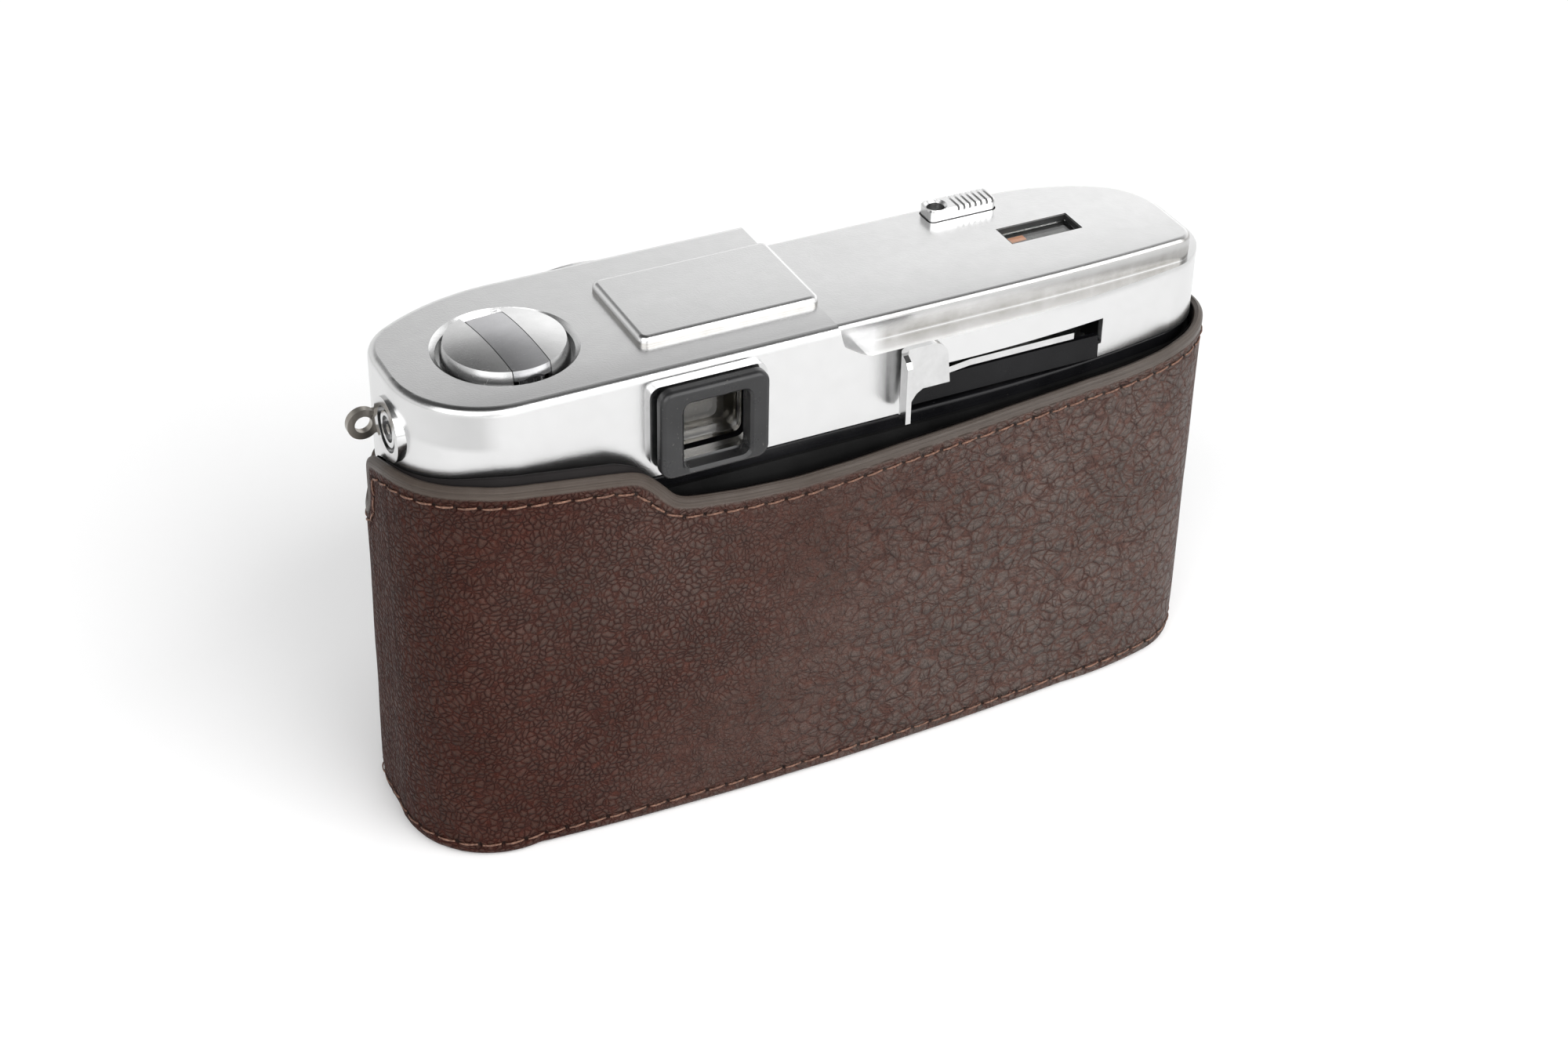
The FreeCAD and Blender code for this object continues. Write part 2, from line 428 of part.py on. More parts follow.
out("finder_upper_prism", poly_xy([(-9.0, 3.4), (6.8, 3.4), (6.8, -12.0), (-3.0, -12.0), (-9.0, -6.0)], 59.0, 66.6))
out("finder_relay_lens", cylz(-1.2, -4.4, 48.6, 50.6, 6.5))
out("finder_lower_prism", poly_xz([(-9.0, 47.5), (6.4, 47.5), (6.4, 26.6), (-4.0, 26.6), (-9.0, 32.0)], -12.0, 3.4))
out("focusing_screen", box(7.3, -12.4, 24.4, 8.4, 5.0, 49.8))
mir = poly_xy([(28.5, -10.4), (29.2, -9.7), (18.2, 1.3), (17.5, 0.6)], 25.0, 49.6)
out("reflex_mirror", mir.fuse(cylz(29.2, -10.5, 24.2, 50.2, 0.75)))

# ================================================================ shutter disc
sd = cyly(SHX, SHZ, 7.3, 7.8, 22.6)
wdg = Part.Face(Part.makePolygon([V(SHX, 0, SHZ), V(SHX + 60 * math.cos(math.radians(160)), 0, SHZ + 60 * math.sin(math.radians(160))),
                                  V(SHX + 60 * math.cos(math.radians(205)), 0, SHZ + 60 * math.sin(math.radians(205))),
                                  V(SHX + 60 * math.cos(math.radians(250)), 0, SHZ + 60 * math.sin(math.radians(250))), V(SHX, 0, SHZ)])).extrude(V(0, 30, 0))
sd = sd.cut(wdg).fuse(cyly(SHX, SHZ, 6.7, 8.5, 3.4))
sd = sd.cut(cyly(SHX, SHZ, 0, 20, 1.25))
out("shutter_disc", sd)
out("shutter_spindle", cyly(SHX, SHZ, 5.7, 9.6, 1.2).cut(box(SHX - 2, 5.0, SHZ - 2, SHX + 2, 5.6, SHZ + 2)))

# ================================================================ lens mount and short lens
mr = cyly(LX, LZ, -19.0, YF + 0.0, R_MOUNT).cut(cyly(LX, LZ, -30, 0, 16.6))
mr = mr.fuse(cyly(LX, LZ, YF, -15.25, 21.0).cut(cyly(LX, LZ, -30, 0, 16.6)))
mr = fillet_try(mr, 0.6, lambda e: e.BoundBox.YMax < -18.99 and e.BoundBox.XLength > 40)
for i in range(4):
    a = math.radians(45 + 90 * i)
    mr = mr.cut(cyly(LX + 22.2 * math.cos(a), LZ + 22.2 * math.sin(a), -19.5, -18.2, 1.25))
out("lens_mount_ring", mr)
ms = []
for i in range(4):
    a = math.radians(45 + 90 * i)
    s = cyly(LX + 22.2 * math.cos(a), LZ + 22.2 * math.sin(a), -18.9, -18.2, 1.2)
    x, z = LX + 22.2 * math.cos(a), LZ + 22.2 * math.sin(a)
    s = s.cut(box(x - 1.3, -19.5, z - 0.15, x + 1.3, -18.6, z + 0.15))
    ms.append(s)
out("mount_screws", Part.makeCompound(ms), many=True)

lb = cyly(LX, LZ, -33.6, -12.8, 16.4).fuse(cyly(LX, LZ, -21.0, -19.05, 22.8)).fuse(cyly(LX, LZ, -33.6, -19.05, 18.0))
lb = lb.cut(cyly(LX, LZ, -40, 0, 13.2)).fuse(cyly(LX, LZ, -25.0, -23.6, 13.4).cut(cyly(LX, LZ, -30, 0, 7.0)))
out("lens_barrel", lb)
ar = cyly(LX, LZ, -24.4, -21.3, 22.3).cut(cyly(LX, LZ, -30, 0, 18.06))
for i in range(40):
    a = math.radians(i * 9)
    ar = ar.cut(cyly(LX + 22.6 * math.cos(a), LZ + 22.6 * math.sin(a), -23.6, -22.0, 0.55))
out("aperture_ring", ar)
fr2 = cyly(LX, LZ, -32.0, -24.8, 23.6).cut(cyly(LX, LZ, -40, 0, 18.06))
for i in range(48):
    a = math.radians(i * 7.5)
    fr2 = fr2.cut(cyly(LX + 24.0 * math.cos(a), LZ + 24.0 * math.sin(a), -31.2, -26.4, 0.75))
out("focus_ring", fr2)
ff = cyly(LX, LZ, -37.2, -32.3, 23.9).cut(cyly(LX, LZ, -40, -34.4, 21.5)).cut(cyly(LX, LZ, -40, 0, 18.0))
ff = fillet_try(ff, 0.35, lambda e: e.BoundBox.YMax < -37.19 and e.BoundBox.XLength > 47)
out("filter_ring", ff)
nr = cyly(LX, LZ, -34.4, -33.6, 17.97).cut(cyly(LX, LZ, -40, 0, 13.2))
out("lens_name_ring", nr)


def lens_disc(y0, y1, r, bow0, bow1):
    """Glass disc along Y with bowed faces."""
    s = cyly(LX, LZ, y0 - bow0, y1 + bow1, r)
    for y, bow, sg in ((y0, bow0, 1), (y1, bow1, -1)):
        R = (r * r + bow * bow) / (2 * bow)
        s = s.common(Part.makeSphere(R, V(LX, y - sg * bow + sg * R, LZ)))
    return s


out("front_glass", lens_disc(-31.6, -29.2, 13.1, 1.9, 0.6))
rg = cyly(LX, LZ, -19.0, -17.0, 13.1)
out("rear_glass", fillet_try(rg, 0.7, lambda e: e.BoundBox.YMax < -18.99 or e.BoundBox.YMin > -17.01))
ib = cyly(LX, LZ, -23.5, -23.2, 13.1).cut(cyly(LX, LZ, -30, 0, 5.2))
out("iris_blades", ib)
lr = cyly(-8.2, 38.0, -17.6, -14.0, 1.85).fuse(cyly(-8.2, 38.0, -15.2, -14.6, 1.85))
out("lens_release_button", lr)
lc = cyly(-8.2, 38.0, -16.6, -15.25, 2.5).cut(cyly(-8.2, 38.0, -30, 0, 1.95))
out("lens_release_collar", lc)

# ================================================================ speed dial
sdl = cyly(DX_, DZ_, -20.6, -16.4, R_DIAL)
for i in range(44):
    a = math.radians(i * 360.0 / 44)
    sdl = sdl.cut(cyly(DX_ + (R_DIAL + 0.25) * math.cos(a), DZ_ + (R_DIAL + 0.25) * math.sin(a), -20.3, -17.2, 0.5))
sdl = sdl.fuse(cyly(DX_, DZ_, -16.4, -13.2, 3.1))
out("speed_dial", sdl)
out("speed_dial_base", cyly(DX_, DZ_, -16.1, -15.25, R_DIAL + 0.4).cut(cyly(DX_, DZ_, -30, 0, 3.2)))

# ================================================================ ends: sync socket and strap lugs
so = cylx(SSY, SSZ, 61.8, 63.9, 4.6).cut(cylx(SSY, SSZ, 62.6, 70, 3.3)).fuse(cylx(SSY, SSZ, 61.8, 63.7, 2.6).cut(cylx(SSY, SSZ, 62.6, 70, 1.9)))
so = so.fuse(cylx(SSY, SSZ, 61.8, 63.6, 0.7))
out("sync_socket", so)
lugs = []
for s in (1, -1):
    cx = 65.2 if s > 0 else -63.7
    z = LUGZ if s > 0 else LUGZR
    lg = cyly(cx, z, -4.4, -3.3, 2.3)
    x0, x1 = sorted((60.8 if s > 0 else -59.3, cx))
    lg = lg.fuse(box(x0, -4.4, z - 1.7, x1, -3.3, z + 1.7))
    lugs.append(lg.cut(cyly(cx, z, -10, 10, 1.25)))
out("strap_lugs", Part.makeCompound(lugs), many=True)
# screws under the bottom cover
bs = []
for x, y in ((52, 6), (52, -8), (-50, 4), (-50, -8)):
    s = cylz(x, y, Z0 + 1.2, Z0 + 2.2, 1.7)
    bs.append(s.cut(box(x - 2, y - 0.2, 0, x + 2, y + 0.2, Z0 + 1.6)))
out("base_screws", Part.makeCompound(bs), many=True)
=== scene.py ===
import bpy, math
import numpy as np
from mathutils import Matrix, Vector


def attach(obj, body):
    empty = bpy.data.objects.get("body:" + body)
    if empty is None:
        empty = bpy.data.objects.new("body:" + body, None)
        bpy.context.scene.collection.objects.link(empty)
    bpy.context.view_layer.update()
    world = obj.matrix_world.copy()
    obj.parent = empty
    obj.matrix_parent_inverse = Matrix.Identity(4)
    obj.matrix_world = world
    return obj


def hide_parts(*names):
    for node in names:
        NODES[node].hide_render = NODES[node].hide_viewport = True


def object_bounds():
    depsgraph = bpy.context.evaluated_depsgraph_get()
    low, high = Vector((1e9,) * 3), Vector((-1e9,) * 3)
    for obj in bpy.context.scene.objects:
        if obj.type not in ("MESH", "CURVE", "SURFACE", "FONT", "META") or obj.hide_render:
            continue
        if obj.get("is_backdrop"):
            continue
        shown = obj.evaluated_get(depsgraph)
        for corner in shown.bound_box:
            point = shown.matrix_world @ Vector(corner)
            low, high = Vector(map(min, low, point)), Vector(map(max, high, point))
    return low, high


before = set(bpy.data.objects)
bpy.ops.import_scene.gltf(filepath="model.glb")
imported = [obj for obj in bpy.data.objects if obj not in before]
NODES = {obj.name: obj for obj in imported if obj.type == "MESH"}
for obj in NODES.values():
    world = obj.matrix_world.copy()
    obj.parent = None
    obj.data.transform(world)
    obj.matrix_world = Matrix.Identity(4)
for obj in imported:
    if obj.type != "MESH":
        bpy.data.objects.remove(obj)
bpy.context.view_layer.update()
MM = 0.001
SC = bpy.context.scene
rng = np.random.default_rng(7)

# ------------------------------------------------------------------ camera
psi, th, rho = math.radians(27.12), math.radians(34.94), math.radians(1.22)
Fv = Vector((math.sin(psi) * math.cos(th), math.cos(psi) * math.cos(th), -math.sin(th)))
Rv = Vector((math.cos(psi), -math.sin(psi), 0.0))
Uv = Rv.cross(Fv)
R2 = Rv * math.cos(rho) + Uv * math.sin(rho)
U2 = -Rv * math.sin(rho) + Uv * math.cos(rho)
row = lambda v: Vector((-v.x, -v.y, v.z))
Fv, R2, U2 = row(Fv), row(R2), row(U2)
cam_data = bpy.data.cameras.new("camera")
cam = bpy.data.objects.new("camera", cam_data)
SC.collection.objects.link(cam)
M = Matrix(((R2.x, U2.x, -Fv.x, 0.16172), (R2.y, U2.y, -Fv.y, 0.31058), (R2.z, U2.z, -Fv.z, 0.27548), (0, 0, 0, 1)))
cam.matrix_world = M
cam_data.sensor_width = 36.0
cam_data.lens = 65.49
cam_data.clip_start = 0.01
cam_data.clip_end = 50.0
SC.camera = cam


# ------------------------------------------------------------------ node helpers
class Mat:
    def __init__(self, name, **vals):
        self.m = bpy.data.materials.new(name)
        self.m.use_nodes = True
        self.t = self.m.node_tree
        self.b = self.t.nodes["Principled BSDF"]
        self.set(**vals)
        self._obj = None

    def set(self, **vals):
        names = {"base": "Base Color", "metal": "Metallic", "rough": "Roughness", "ior": "IOR", "alpha": "Alpha", "coat": "Coat Weight", "coat_rough": "Coat Roughness",
                 "sheen": "Sheen Weight", "sheen_rough": "Sheen Roughness", "aniso": "Anisotropic", "spec": "Specular IOR Level", "trans": "Transmission Weight"}
        for k, v in vals.items():
            s = self.b.inputs[names[k]]
            if k == "base":
                v = (v[0], v[1], v[2], 1.0)
            s.default_value = v

    def node(self, kind, **kw):
        n = self.t.nodes.new(kind)
        ins = {}
        for k, v in kw.items():
            if k.startswith("i_"):
                ins[k[2:]] = v
            else:
                setattr(n, k, v)
        for k, v in ins.items():
            key = int(k) if k.isdigit() else k.replace("_", " ")
            if isinstance(v, bpy.types.NodeSocket):
                self.t.links.new(v, n.inputs[key])
            else:
                n.inputs[key].default_value = v
        return n

    def obj(self):
        if self._obj is None:
            self._obj = self.node("ShaderNodeTexCoord").outputs["Object"]
        return self._obj

    def mapped(self, scale=(1, 1, 1), loc=(0, 0, 0), src=None):
        n = self.node("ShaderNodeMapping")
        n.inputs["Scale"].default_value = scale
        n.inputs["Location"].default_value = loc
        self.t.links.new(src or self.obj(), n.inputs["Vector"])
        return n.outputs["Vector"]

    def noise(self, scale, detail=3.0, rough=0.5, vec=None, dist=0.0):
        n = self.node("ShaderNodeTexNoise")
        n.inputs["Scale"].default_value = scale
        n.inputs["Detail"].default_value = detail
        n.inputs["Roughness"].default_value = rough
        n.inputs["Distortion"].default_value = dist
        self.t.links.new(vec or self.obj(), n.inputs["Vector"])
        return n

    def voro(self, scale, feature="DISTANCE_TO_EDGE", vec=None, rand=1.0):
        n = self.node("ShaderNodeTexVoronoi")
        n.feature = feature
        n.inputs["Scale"].default_value = scale
        n.inputs["Randomness"].default_value = rand
        self.t.links.new(vec or self.obj(), n.inputs["Vector"])
        return n

    def ramp(self, fac, stops):
        n = self.node("ShaderNodeValToRGB")
        e = n.color_ramp.elements
        while len(e) > len(stops):
            e.remove(e[-1])
        while len(e) < len(stops):
            e.new(0.5)
        for el, (p, c) in zip(e, stops):
            el.position = p
            el.color = (c, c, c, 1) if isinstance(c, (int, float)) else (c[0], c[1], c[2], 1)
        self.t.links.new(fac, n.inputs["Fac"])
        return n.outputs["Color"]

    def mix(self, fac, a, b, mode="MIX"):
        n = self.node("ShaderNodeMix", data_type="RGBA", blend_type=mode)
        for key, v in ((0, fac), (6, a), (7, b)):
            if isinstance(v, bpy.types.NodeSocket):
                self.t.links.new(v, n.inputs[key])
            elif key == 0:
                n.inputs[0].default_value = v
            else:
                n.inputs[key].default_value = (v[0], v[1], v[2], 1)
        return n.outputs[2]

    def math(self, op, a, b=0.0, c=None, clamp=False):
        n = self.node("ShaderNodeMath", operation=op, use_clamp=clamp)
        for i, v in enumerate((a, b, c)):
            if v is None:
                continue
            if isinstance(v, bpy.types.NodeSocket):
                self.t.links.new(v, n.inputs[i])
            else:
                n.inputs[i].default_value = v
        return n.outputs[0]

    def attr(self, name, vector=False):
        n = self.node("ShaderNodeAttribute", attribute_name=name)
        return n.outputs["Vector" if vector else "Fac"]

    def link(self, sock, name):
        self.t.links.new(sock, self.b.inputs[name])

    def bump(self, height, strength, dist, prev=None):
        n = self.node("ShaderNodeBump")
        n.inputs["Strength"].default_value = strength
        n.inputs["Distance"].default_value = dist
        self.t.links.new(height, n.inputs["Height"])
        if prev is not None:
            self.t.links.new(prev, n.inputs["Normal"])
        self.t.links.new(n.outputs["Normal"], self.b.inputs["Normal"])
        return n.outputs["Normal"]


def metal(name, base, rough, grain=0.0, grain_scale=9000.0, blotch=0.06, scratch=0.0, grime=None):
    """Metal with sandblast grain, faint blotches and hairline scratches."""
    m = Mat(name, base=base, metal=1.0, rough=rough)
    big = m.noise(160.0, 4.0, 0.6).outputs["Fac"]
    r = m.ramp(big, [(0.3, rough * (1 - blotch * 2)), (0.7, rough * (1 + blotch * 2))])
    col = m.mix(m.ramp(m.noise(420.0, 5.0, 0.65).outputs["Fac"], [(0.35, 0.0), (0.75, 1.0)]), tuple(c * (1 - blotch) for c in base), tuple(min(1, c * (1 + blotch * 0.4)) for c in base))
    if grime is not None:
        col = m.mix(m.ramp(m.noise(90.0, 6.0, 0.7).outputs["Fac"], [(0.56, 0.0), (0.78, 0.5)]), col, grime)
    m.link(col, "Base Color")
    if scratch > 0:
        v = m.mapped((1, 14, 1))
        sc = m.ramp(m.noise(700.0, 2.0, 0.5, vec=v).outputs["Fac"], [(0.66, 0.0), (0.72, 1.0)])
        r = m.mix(scratch, r, sc, "ADD")
    m.link(r, "Roughness")
    if grain > 0:
        g = m.noise(grain_scale, 2.0, 0.6).outputs["Fac"]
        m.bump(g, grain, 0.00004)
    return m


def plastic(name, base, rough, grain=0.0, coat=0.0, dust=0.0):
    m = Mat(name, base=base, rough=rough, coat=coat, coat_rough=0.06)
    v = m.noise(300.0, 4.0, 0.6).outputs["Fac"]
    m.link(m.ramp(v, [(0.3, max(0.02, rough - 0.06)), (0.7, rough + 0.08)]), "Roughness")
    col = m.mix(m.ramp(m.noise(120.0, 3.0, 0.5).outputs["Fac"], [(0.35, 0.0), (0.7, 1.0)]), base, tuple(c * 1.5 + 0.002 for c in base))
    if dust > 0:
        sp = m.ramp(m.noise(3200.0, 2.0, 0.5).outputs["Fac"], [(0.70, 0.0), (0.74, dust)])
        col = m.mix(sp, col, (0.45, 0.42, 0.38))
    m.link(col, "Base Color")
    if grain > 0:
        m.bump(m.noise(2600.0, 3.0, 0.6).outputs["Fac"], grain, 0.00006)
    return m


M_TOP = metal("satin_chrome_top", (0.66, 0.66, 0.66), 0.25, grain=0.22, grain_scale=3800.0, blotch=0.03)
def top_dirt_and_painted_shade():
    """Satin chrome with old dirt in the corners of the steps, painted shade over the wall of the raised platform, and
    painted shade that darkens the top towards the back edge in place of its reflection.
    """
    m = Mat("satin_chrome_cover", base=(0.66, 0.66, 0.66), metal=1.0, rough=0.25)
    sep = m.node("ShaderNodeSeparateXYZ")
    m.t.links.new(m.obj(), sep.inputs[0])
    X, Y, Z = sep.outputs
    base = m.mix(m.ramp(m.noise(420.0, 5.0, 0.65).outputs["Fac"], [(0.35, 0.0), (0.75, 1.0)]), (0.645, 0.645, 0.645), (0.675, 0.675, 0.675))
    right = m.ramp(m.math("MULTIPLY_ADD", X, 100.0, 1.35), [(0.70, 1.0), (0.92, 0.0)])        # 1 towards the lever end
    # band: dirt in the corner at the foot of the platform wall, and painted shade over the rest of that wall, towards
    # the lever end
    t = m.math("MULTIPLY_ADD", Z, 1000.0 / 3.7, -68.5 / 3.7)
    band = m.ramp(t, [(0.0, 0.0), (0.02, 0.60), (0.10, 1.0), (0.22, 0.85), (0.50, 0.72), (0.66, 0.35), (0.80, 0.25), (0.90, 0.85), (0.97, 0.30), (1.0, 0.0)])
    dirt_and_shade_patches = m.ramp(m.noise(260.0, 5.0, 0.7).outputs["Fac"], [(0.30, 0.65), (0.65, 1.0)])
    col = m.mix(m.math("MULTIPLY", m.math("MULTIPLY", band, right), dirt_and_shade_patches), base, (0.15, 0.138, 0.115))
    t2 = m.math("MULTIPLY_ADD", Z, 1000.0 / 1.3, -74.2 / 1.3)
    b2 = m.ramp(t2, [(0.0, 0.0), (0.03, 0.60), (0.25, 0.45), (0.50, 0.0), (1.0, 0.0)])
    col = m.mix(m.math("MULTIPLY", b2, dirt_and_shade_patches), col, (0.26, 0.235, 0.19))
    painted_reflection_falloff = m.math("MULTIPLY", m.ramp(m.math("MULTIPLY", Y, 50.0), [(0.05, 0.0), (0.45, 0.35), (0.70, 1.0), (0.745, 0.9), (0.785, 0.0)]),
                  m.ramp(m.math("MULTIPLY_ADD", Z, 100.0, -6.45), [(0.30, 0.0), (0.39, 1.0)]))       # painted shade: the top darkens towards the back edge, standing in for the darker reflection there
    col = m.mix(m.math("MULTIPLY", painted_reflection_falloff, 0.50), col, (0.33, 0.33, 0.33))
    m.link(col, "Base Color")
    m.link(m.ramp(m.noise(160.0, 4.0, 0.6).outputs["Fac"], [(0.3, 0.235), (0.7, 0.27)]), "Roughness")
    m.bump(m.noise(3800.0, 2.0, 0.6).outputs["Fac"], 0.25, 0.00004)
    return m


M_COVER = top_dirt_and_painted_shade()
M_SATIN = metal("satin_chrome", (0.70, 0.70, 0.70), 0.26, grain=0.25, grain_scale=6000.0)
M_BRIGHT = metal("polished_chrome", (0.62, 0.62, 0.62), 0.17, grain=0.0, scratch=0.05, blotch=0.12)
M_KNOB = metal("turned_satin_chrome", (0.66, 0.66, 0.66), 0.24, grain=0.2, grain_scale=6000.0, scratch=0.04)
M_STRIP = metal("dark_chrome_strip", (0.45, 0.45, 0.46), 0.22, grain=0.1, scratch=0.08)
M_LUG = metal("worn_lug_metal", (0.30, 0.28, 0.25), 0.30, scratch=0.1)
M_STEEL = metal("turned_steel", (0.55, 0.55, 0.56), 0.28, scratch=0.1)
M_BRASS = metal("brass", (0.62, 0.44, 0.19), 0.28, scratch=0.1)
M_ALU = metal("turned_aluminium", (0.70, 0.70, 0.72), 0.32, scratch=0.08)
M_TI = metal("dark_titanium", (0.22, 0.22, 0.23), 0.4)
M_BLACK = plastic("gloss_black_paint", (0.003, 0.003, 0.0035), 0.22, coat=0.05, dust=0.03)
M_BLACK.set(spec=0.12)
M_SOFTBLACK = plastic("satin_black_paint", (0.016, 0.016, 0.017), 0.34, grain=0.1, dust=0.15)
M_BEZEL = plastic("eyepiece_black", (0.012, 0.012, 0.0125), 0.30, coat=0.0, dust=0.12)
M_BEZEL.set(spec=0.35)
M_LEATHERETTE = plastic("grained_leatherette", (0.014, 0.014, 0.014), 0.5, grain=0.9)
M_GREYLEATH = plastic("dark_leatherette", (0.005, 0.005, 0.005), 0.55, grain=0.9)
M_GREYLEATH.set(spec=0.08)
M_DIAL = plastic("dark_dial", (0.030, 0.026, 0.024), 0.4)
M_ORANGE = plastic("orange_mark", (0.75, 0.22, 0.02), 0.45)
M_LINING = plastic("dark_lining", (0.006, 0.005, 0.005), 0.7, grain=0.6)
M_LINING.set(spec=0.12)
M_EPOXY = plastic("engraved_black_fill", (0.015, 0.015, 0.015), 0.4)


def glass(name, tint, rough=0.02, alpha=None):
    m = Mat(name, base=tint, rough=rough, ior=1.52, trans=1.0)
    m.link(m.ramp(m.noise(900.0, 4.0, 0.6).outputs["Fac"], [(0.5, rough), (0.85, rough + 0.10)]), "Roughness")
    return m


M_GLASS = glass("optical_glass", (0.93, 0.96, 0.97))
# painted shade: the darkened eyepiece glass tint and the dark prism face stand in for the shade inside the eyepiece
M_EYEGLASS = glass("eyepiece_glass", (0.62, 0.60, 0.56))
M_EYEPRISM = plastic("eyepiece_prism_face", (0.050, 0.046, 0.040), 0.12, coat=0.5, dust=0.35)
M_COATED = glass("coated_glass", (0.78, 0.80, 0.92))
M_WINDOW = glass("window_glass", (0.90, 0.91, 0.88))
M_GROUND = plastic("ground_glass", (0.55, 0.56, 0.55), 0.6)
M_MIRROR = metal("front_silvered_mirror", (0.9, 0.9, 0.9), 0.03)


# ------------------------------------------------------------------ leather
def leather_material():
    m = Mat("pebbled_leather", rough=0.5, spec=0.32)
    flow = m.attr("flow", vector=True)            # surface coordinates in cm: along, up
    recess_shade = m.attr("recess_shade")                     # painted shade in the stitch holes, along the stitch groove and in the wrinkle valleys
    coarse = m.attr("coarse")                     # 0 fine pebbles .. 1 large pebbles
    tone = m.attr("tone")
    edge = m.attr("edge")

    def warped(src, scale, amp):
        w = m.noise(scale, 2.0, 0.5, vec=src).outputs["Color"]
        n = m.node("ShaderNodeVectorMath", operation="MULTIPLY_ADD")
        m.t.links.new(w, n.inputs[0]); n.inputs[1].default_value = (amp, amp, 0.0)
        m.t.links.new(src, n.inputs[2])
        return n.outputs[0]

    w1 = warped(warped(flow, 1.6, 0.28), 7.0, 0.050)
    w2 = warped(w1, 16.0, 0.016)
    lay = m.mapped((0.86, 1.0, 1.0), src=w1)
    dL = m.voro(5.4, vec=lay).outputs["Distance"]
    fL = m.voro(5.4, "F1", vec=lay).outputs["Distance"]
    layM = m.mapped((0.9, 1.0, 1.0), (0.31, 0.17, 0.0), src=w2)
    dM = m.voro(8.6, vec=layM).outputs["Distance"]
    fM = m.voro(8.6, "F1", vec=layM).outputs["Distance"]
    fF = m.voro(11.0, "F1", vec=w2).outputs["Distance"]
    dF = m.voro(11.0, vec=w2).outputs["Distance"]
    dS = m.voro(24.0, vec=w2).outputs["Distance"]
    n5 = m.noise(3.1, 4.0, 0.6, vec=flow).outputs["Fac"]
    gate = m.ramp(n5, [(0.38, 0.25), (0.62, 1.0)])
    gate2 = m.ramp(m.noise(2.2, 3.0, 0.6, vec=m.mapped((1, 1, 1), (7.3, 2.1, 0), src=flow)).outputs["Fac"], [(0.36, 0.15), (0.60, 1.0)])
    fineness = m.math("SUBTRACT", 1.0, m.math("MULTIPLY", coarse, 0.85))
    lL = m.math("MULTIPLY", m.ramp(dL, [(0.0, 1.0), (0.045, 0.85), (0.115, 0.0)]), m.math("MULTIPLY", coarse, gate))
    lM = m.math("MULTIPLY", m.ramp(dM, [(0.0, 1.0), (0.050, 0.7), (0.120, 0.0)]), m.math("MULTIPLY", m.ramp(coarse, [(0.0, 0.35), (0.5, 0.9), (1.0, 0.75)]), gate2))
    lF = m.math("MULTIPLY", m.ramp(dF, [(0.0, 1.0), (0.080, 0.75), (0.180, 0.0)]), m.math("MULTIPLY", fineness, m.math("ADD", 0.45, m.math("MULTIPLY", gate, 0.5))))
    lS = m.math("MULTIPLY", m.ramp(dS, [(0.0, 1.0), (0.14, 0.0)]), 0.20)
    line = m.math("MAXIMUM", m.math("MAXIMUM", lL, lM), m.math("MAXIMUM", lF, lS))
    low = m.noise(0.8, 4.0, 0.6, vec=flow).outputs["Fac"]
    mid = m.noise(5.0, 4.0, 0.6, vec=flow).outputs["Fac"]
    tops = m.mix(m.ramp(low, [(0.35, 0.0), (0.65, 1.0)]), (0.062, 0.049, 0.042), (0.090, 0.068, 0.059))
    reds = m.mix(m.ramp(mid, [(0.35, 0.0), (0.7, 1.0)]), (0.050, 0.014, 0.008), (0.105, 0.030, 0.015))
    halo = m.math("MULTIPLY", m.ramp(dL, [(0.0, 0.55), (0.20, 0.0)]), coarse)
    halo = m.math("MAXIMUM", halo, m.math("MULTIPLY", m.ramp(dF, [(0.0, 0.60), (0.26, 0.0)]), fineness))
    col = m.mix(halo, tops, reds)
    col = m.mix(m.math("MULTIPLY", line, 0.85), col, reds)
    deep = m.math("POWER", line, 2.2)
    col = m.mix(m.math("MULTIPLY", deep, 0.62), col, (0.013, 0.0045, 0.003))
    spk = m.ramp(m.noise(22.0, 5.0, 0.7, vec=flow).outputs["Fac"], [(0.54, 0.0), (0.76, 0.45)])
    col = m.mix(spk, col, (0.100, 0.076, 0.063))
    tint = m.mix(tone, (0.58, 0.345, 0.285), (0.90, 0.89, 0.88))
    col = m.mix(1.0, col, tint, "MULTIPLY")
    # painted shade: near-black in the stitch holes, along the stitch groove and in the wrinkle valleys
    col = m.mix(m.math("MULTIPLY", recess_shade, 0.9), col, (0.010, 0.005, 0.004))
    m.link(m.mix(tone, (0.12, 0.12, 0.12), (0.32, 0.32, 0.32)), "Specular IOR Level")
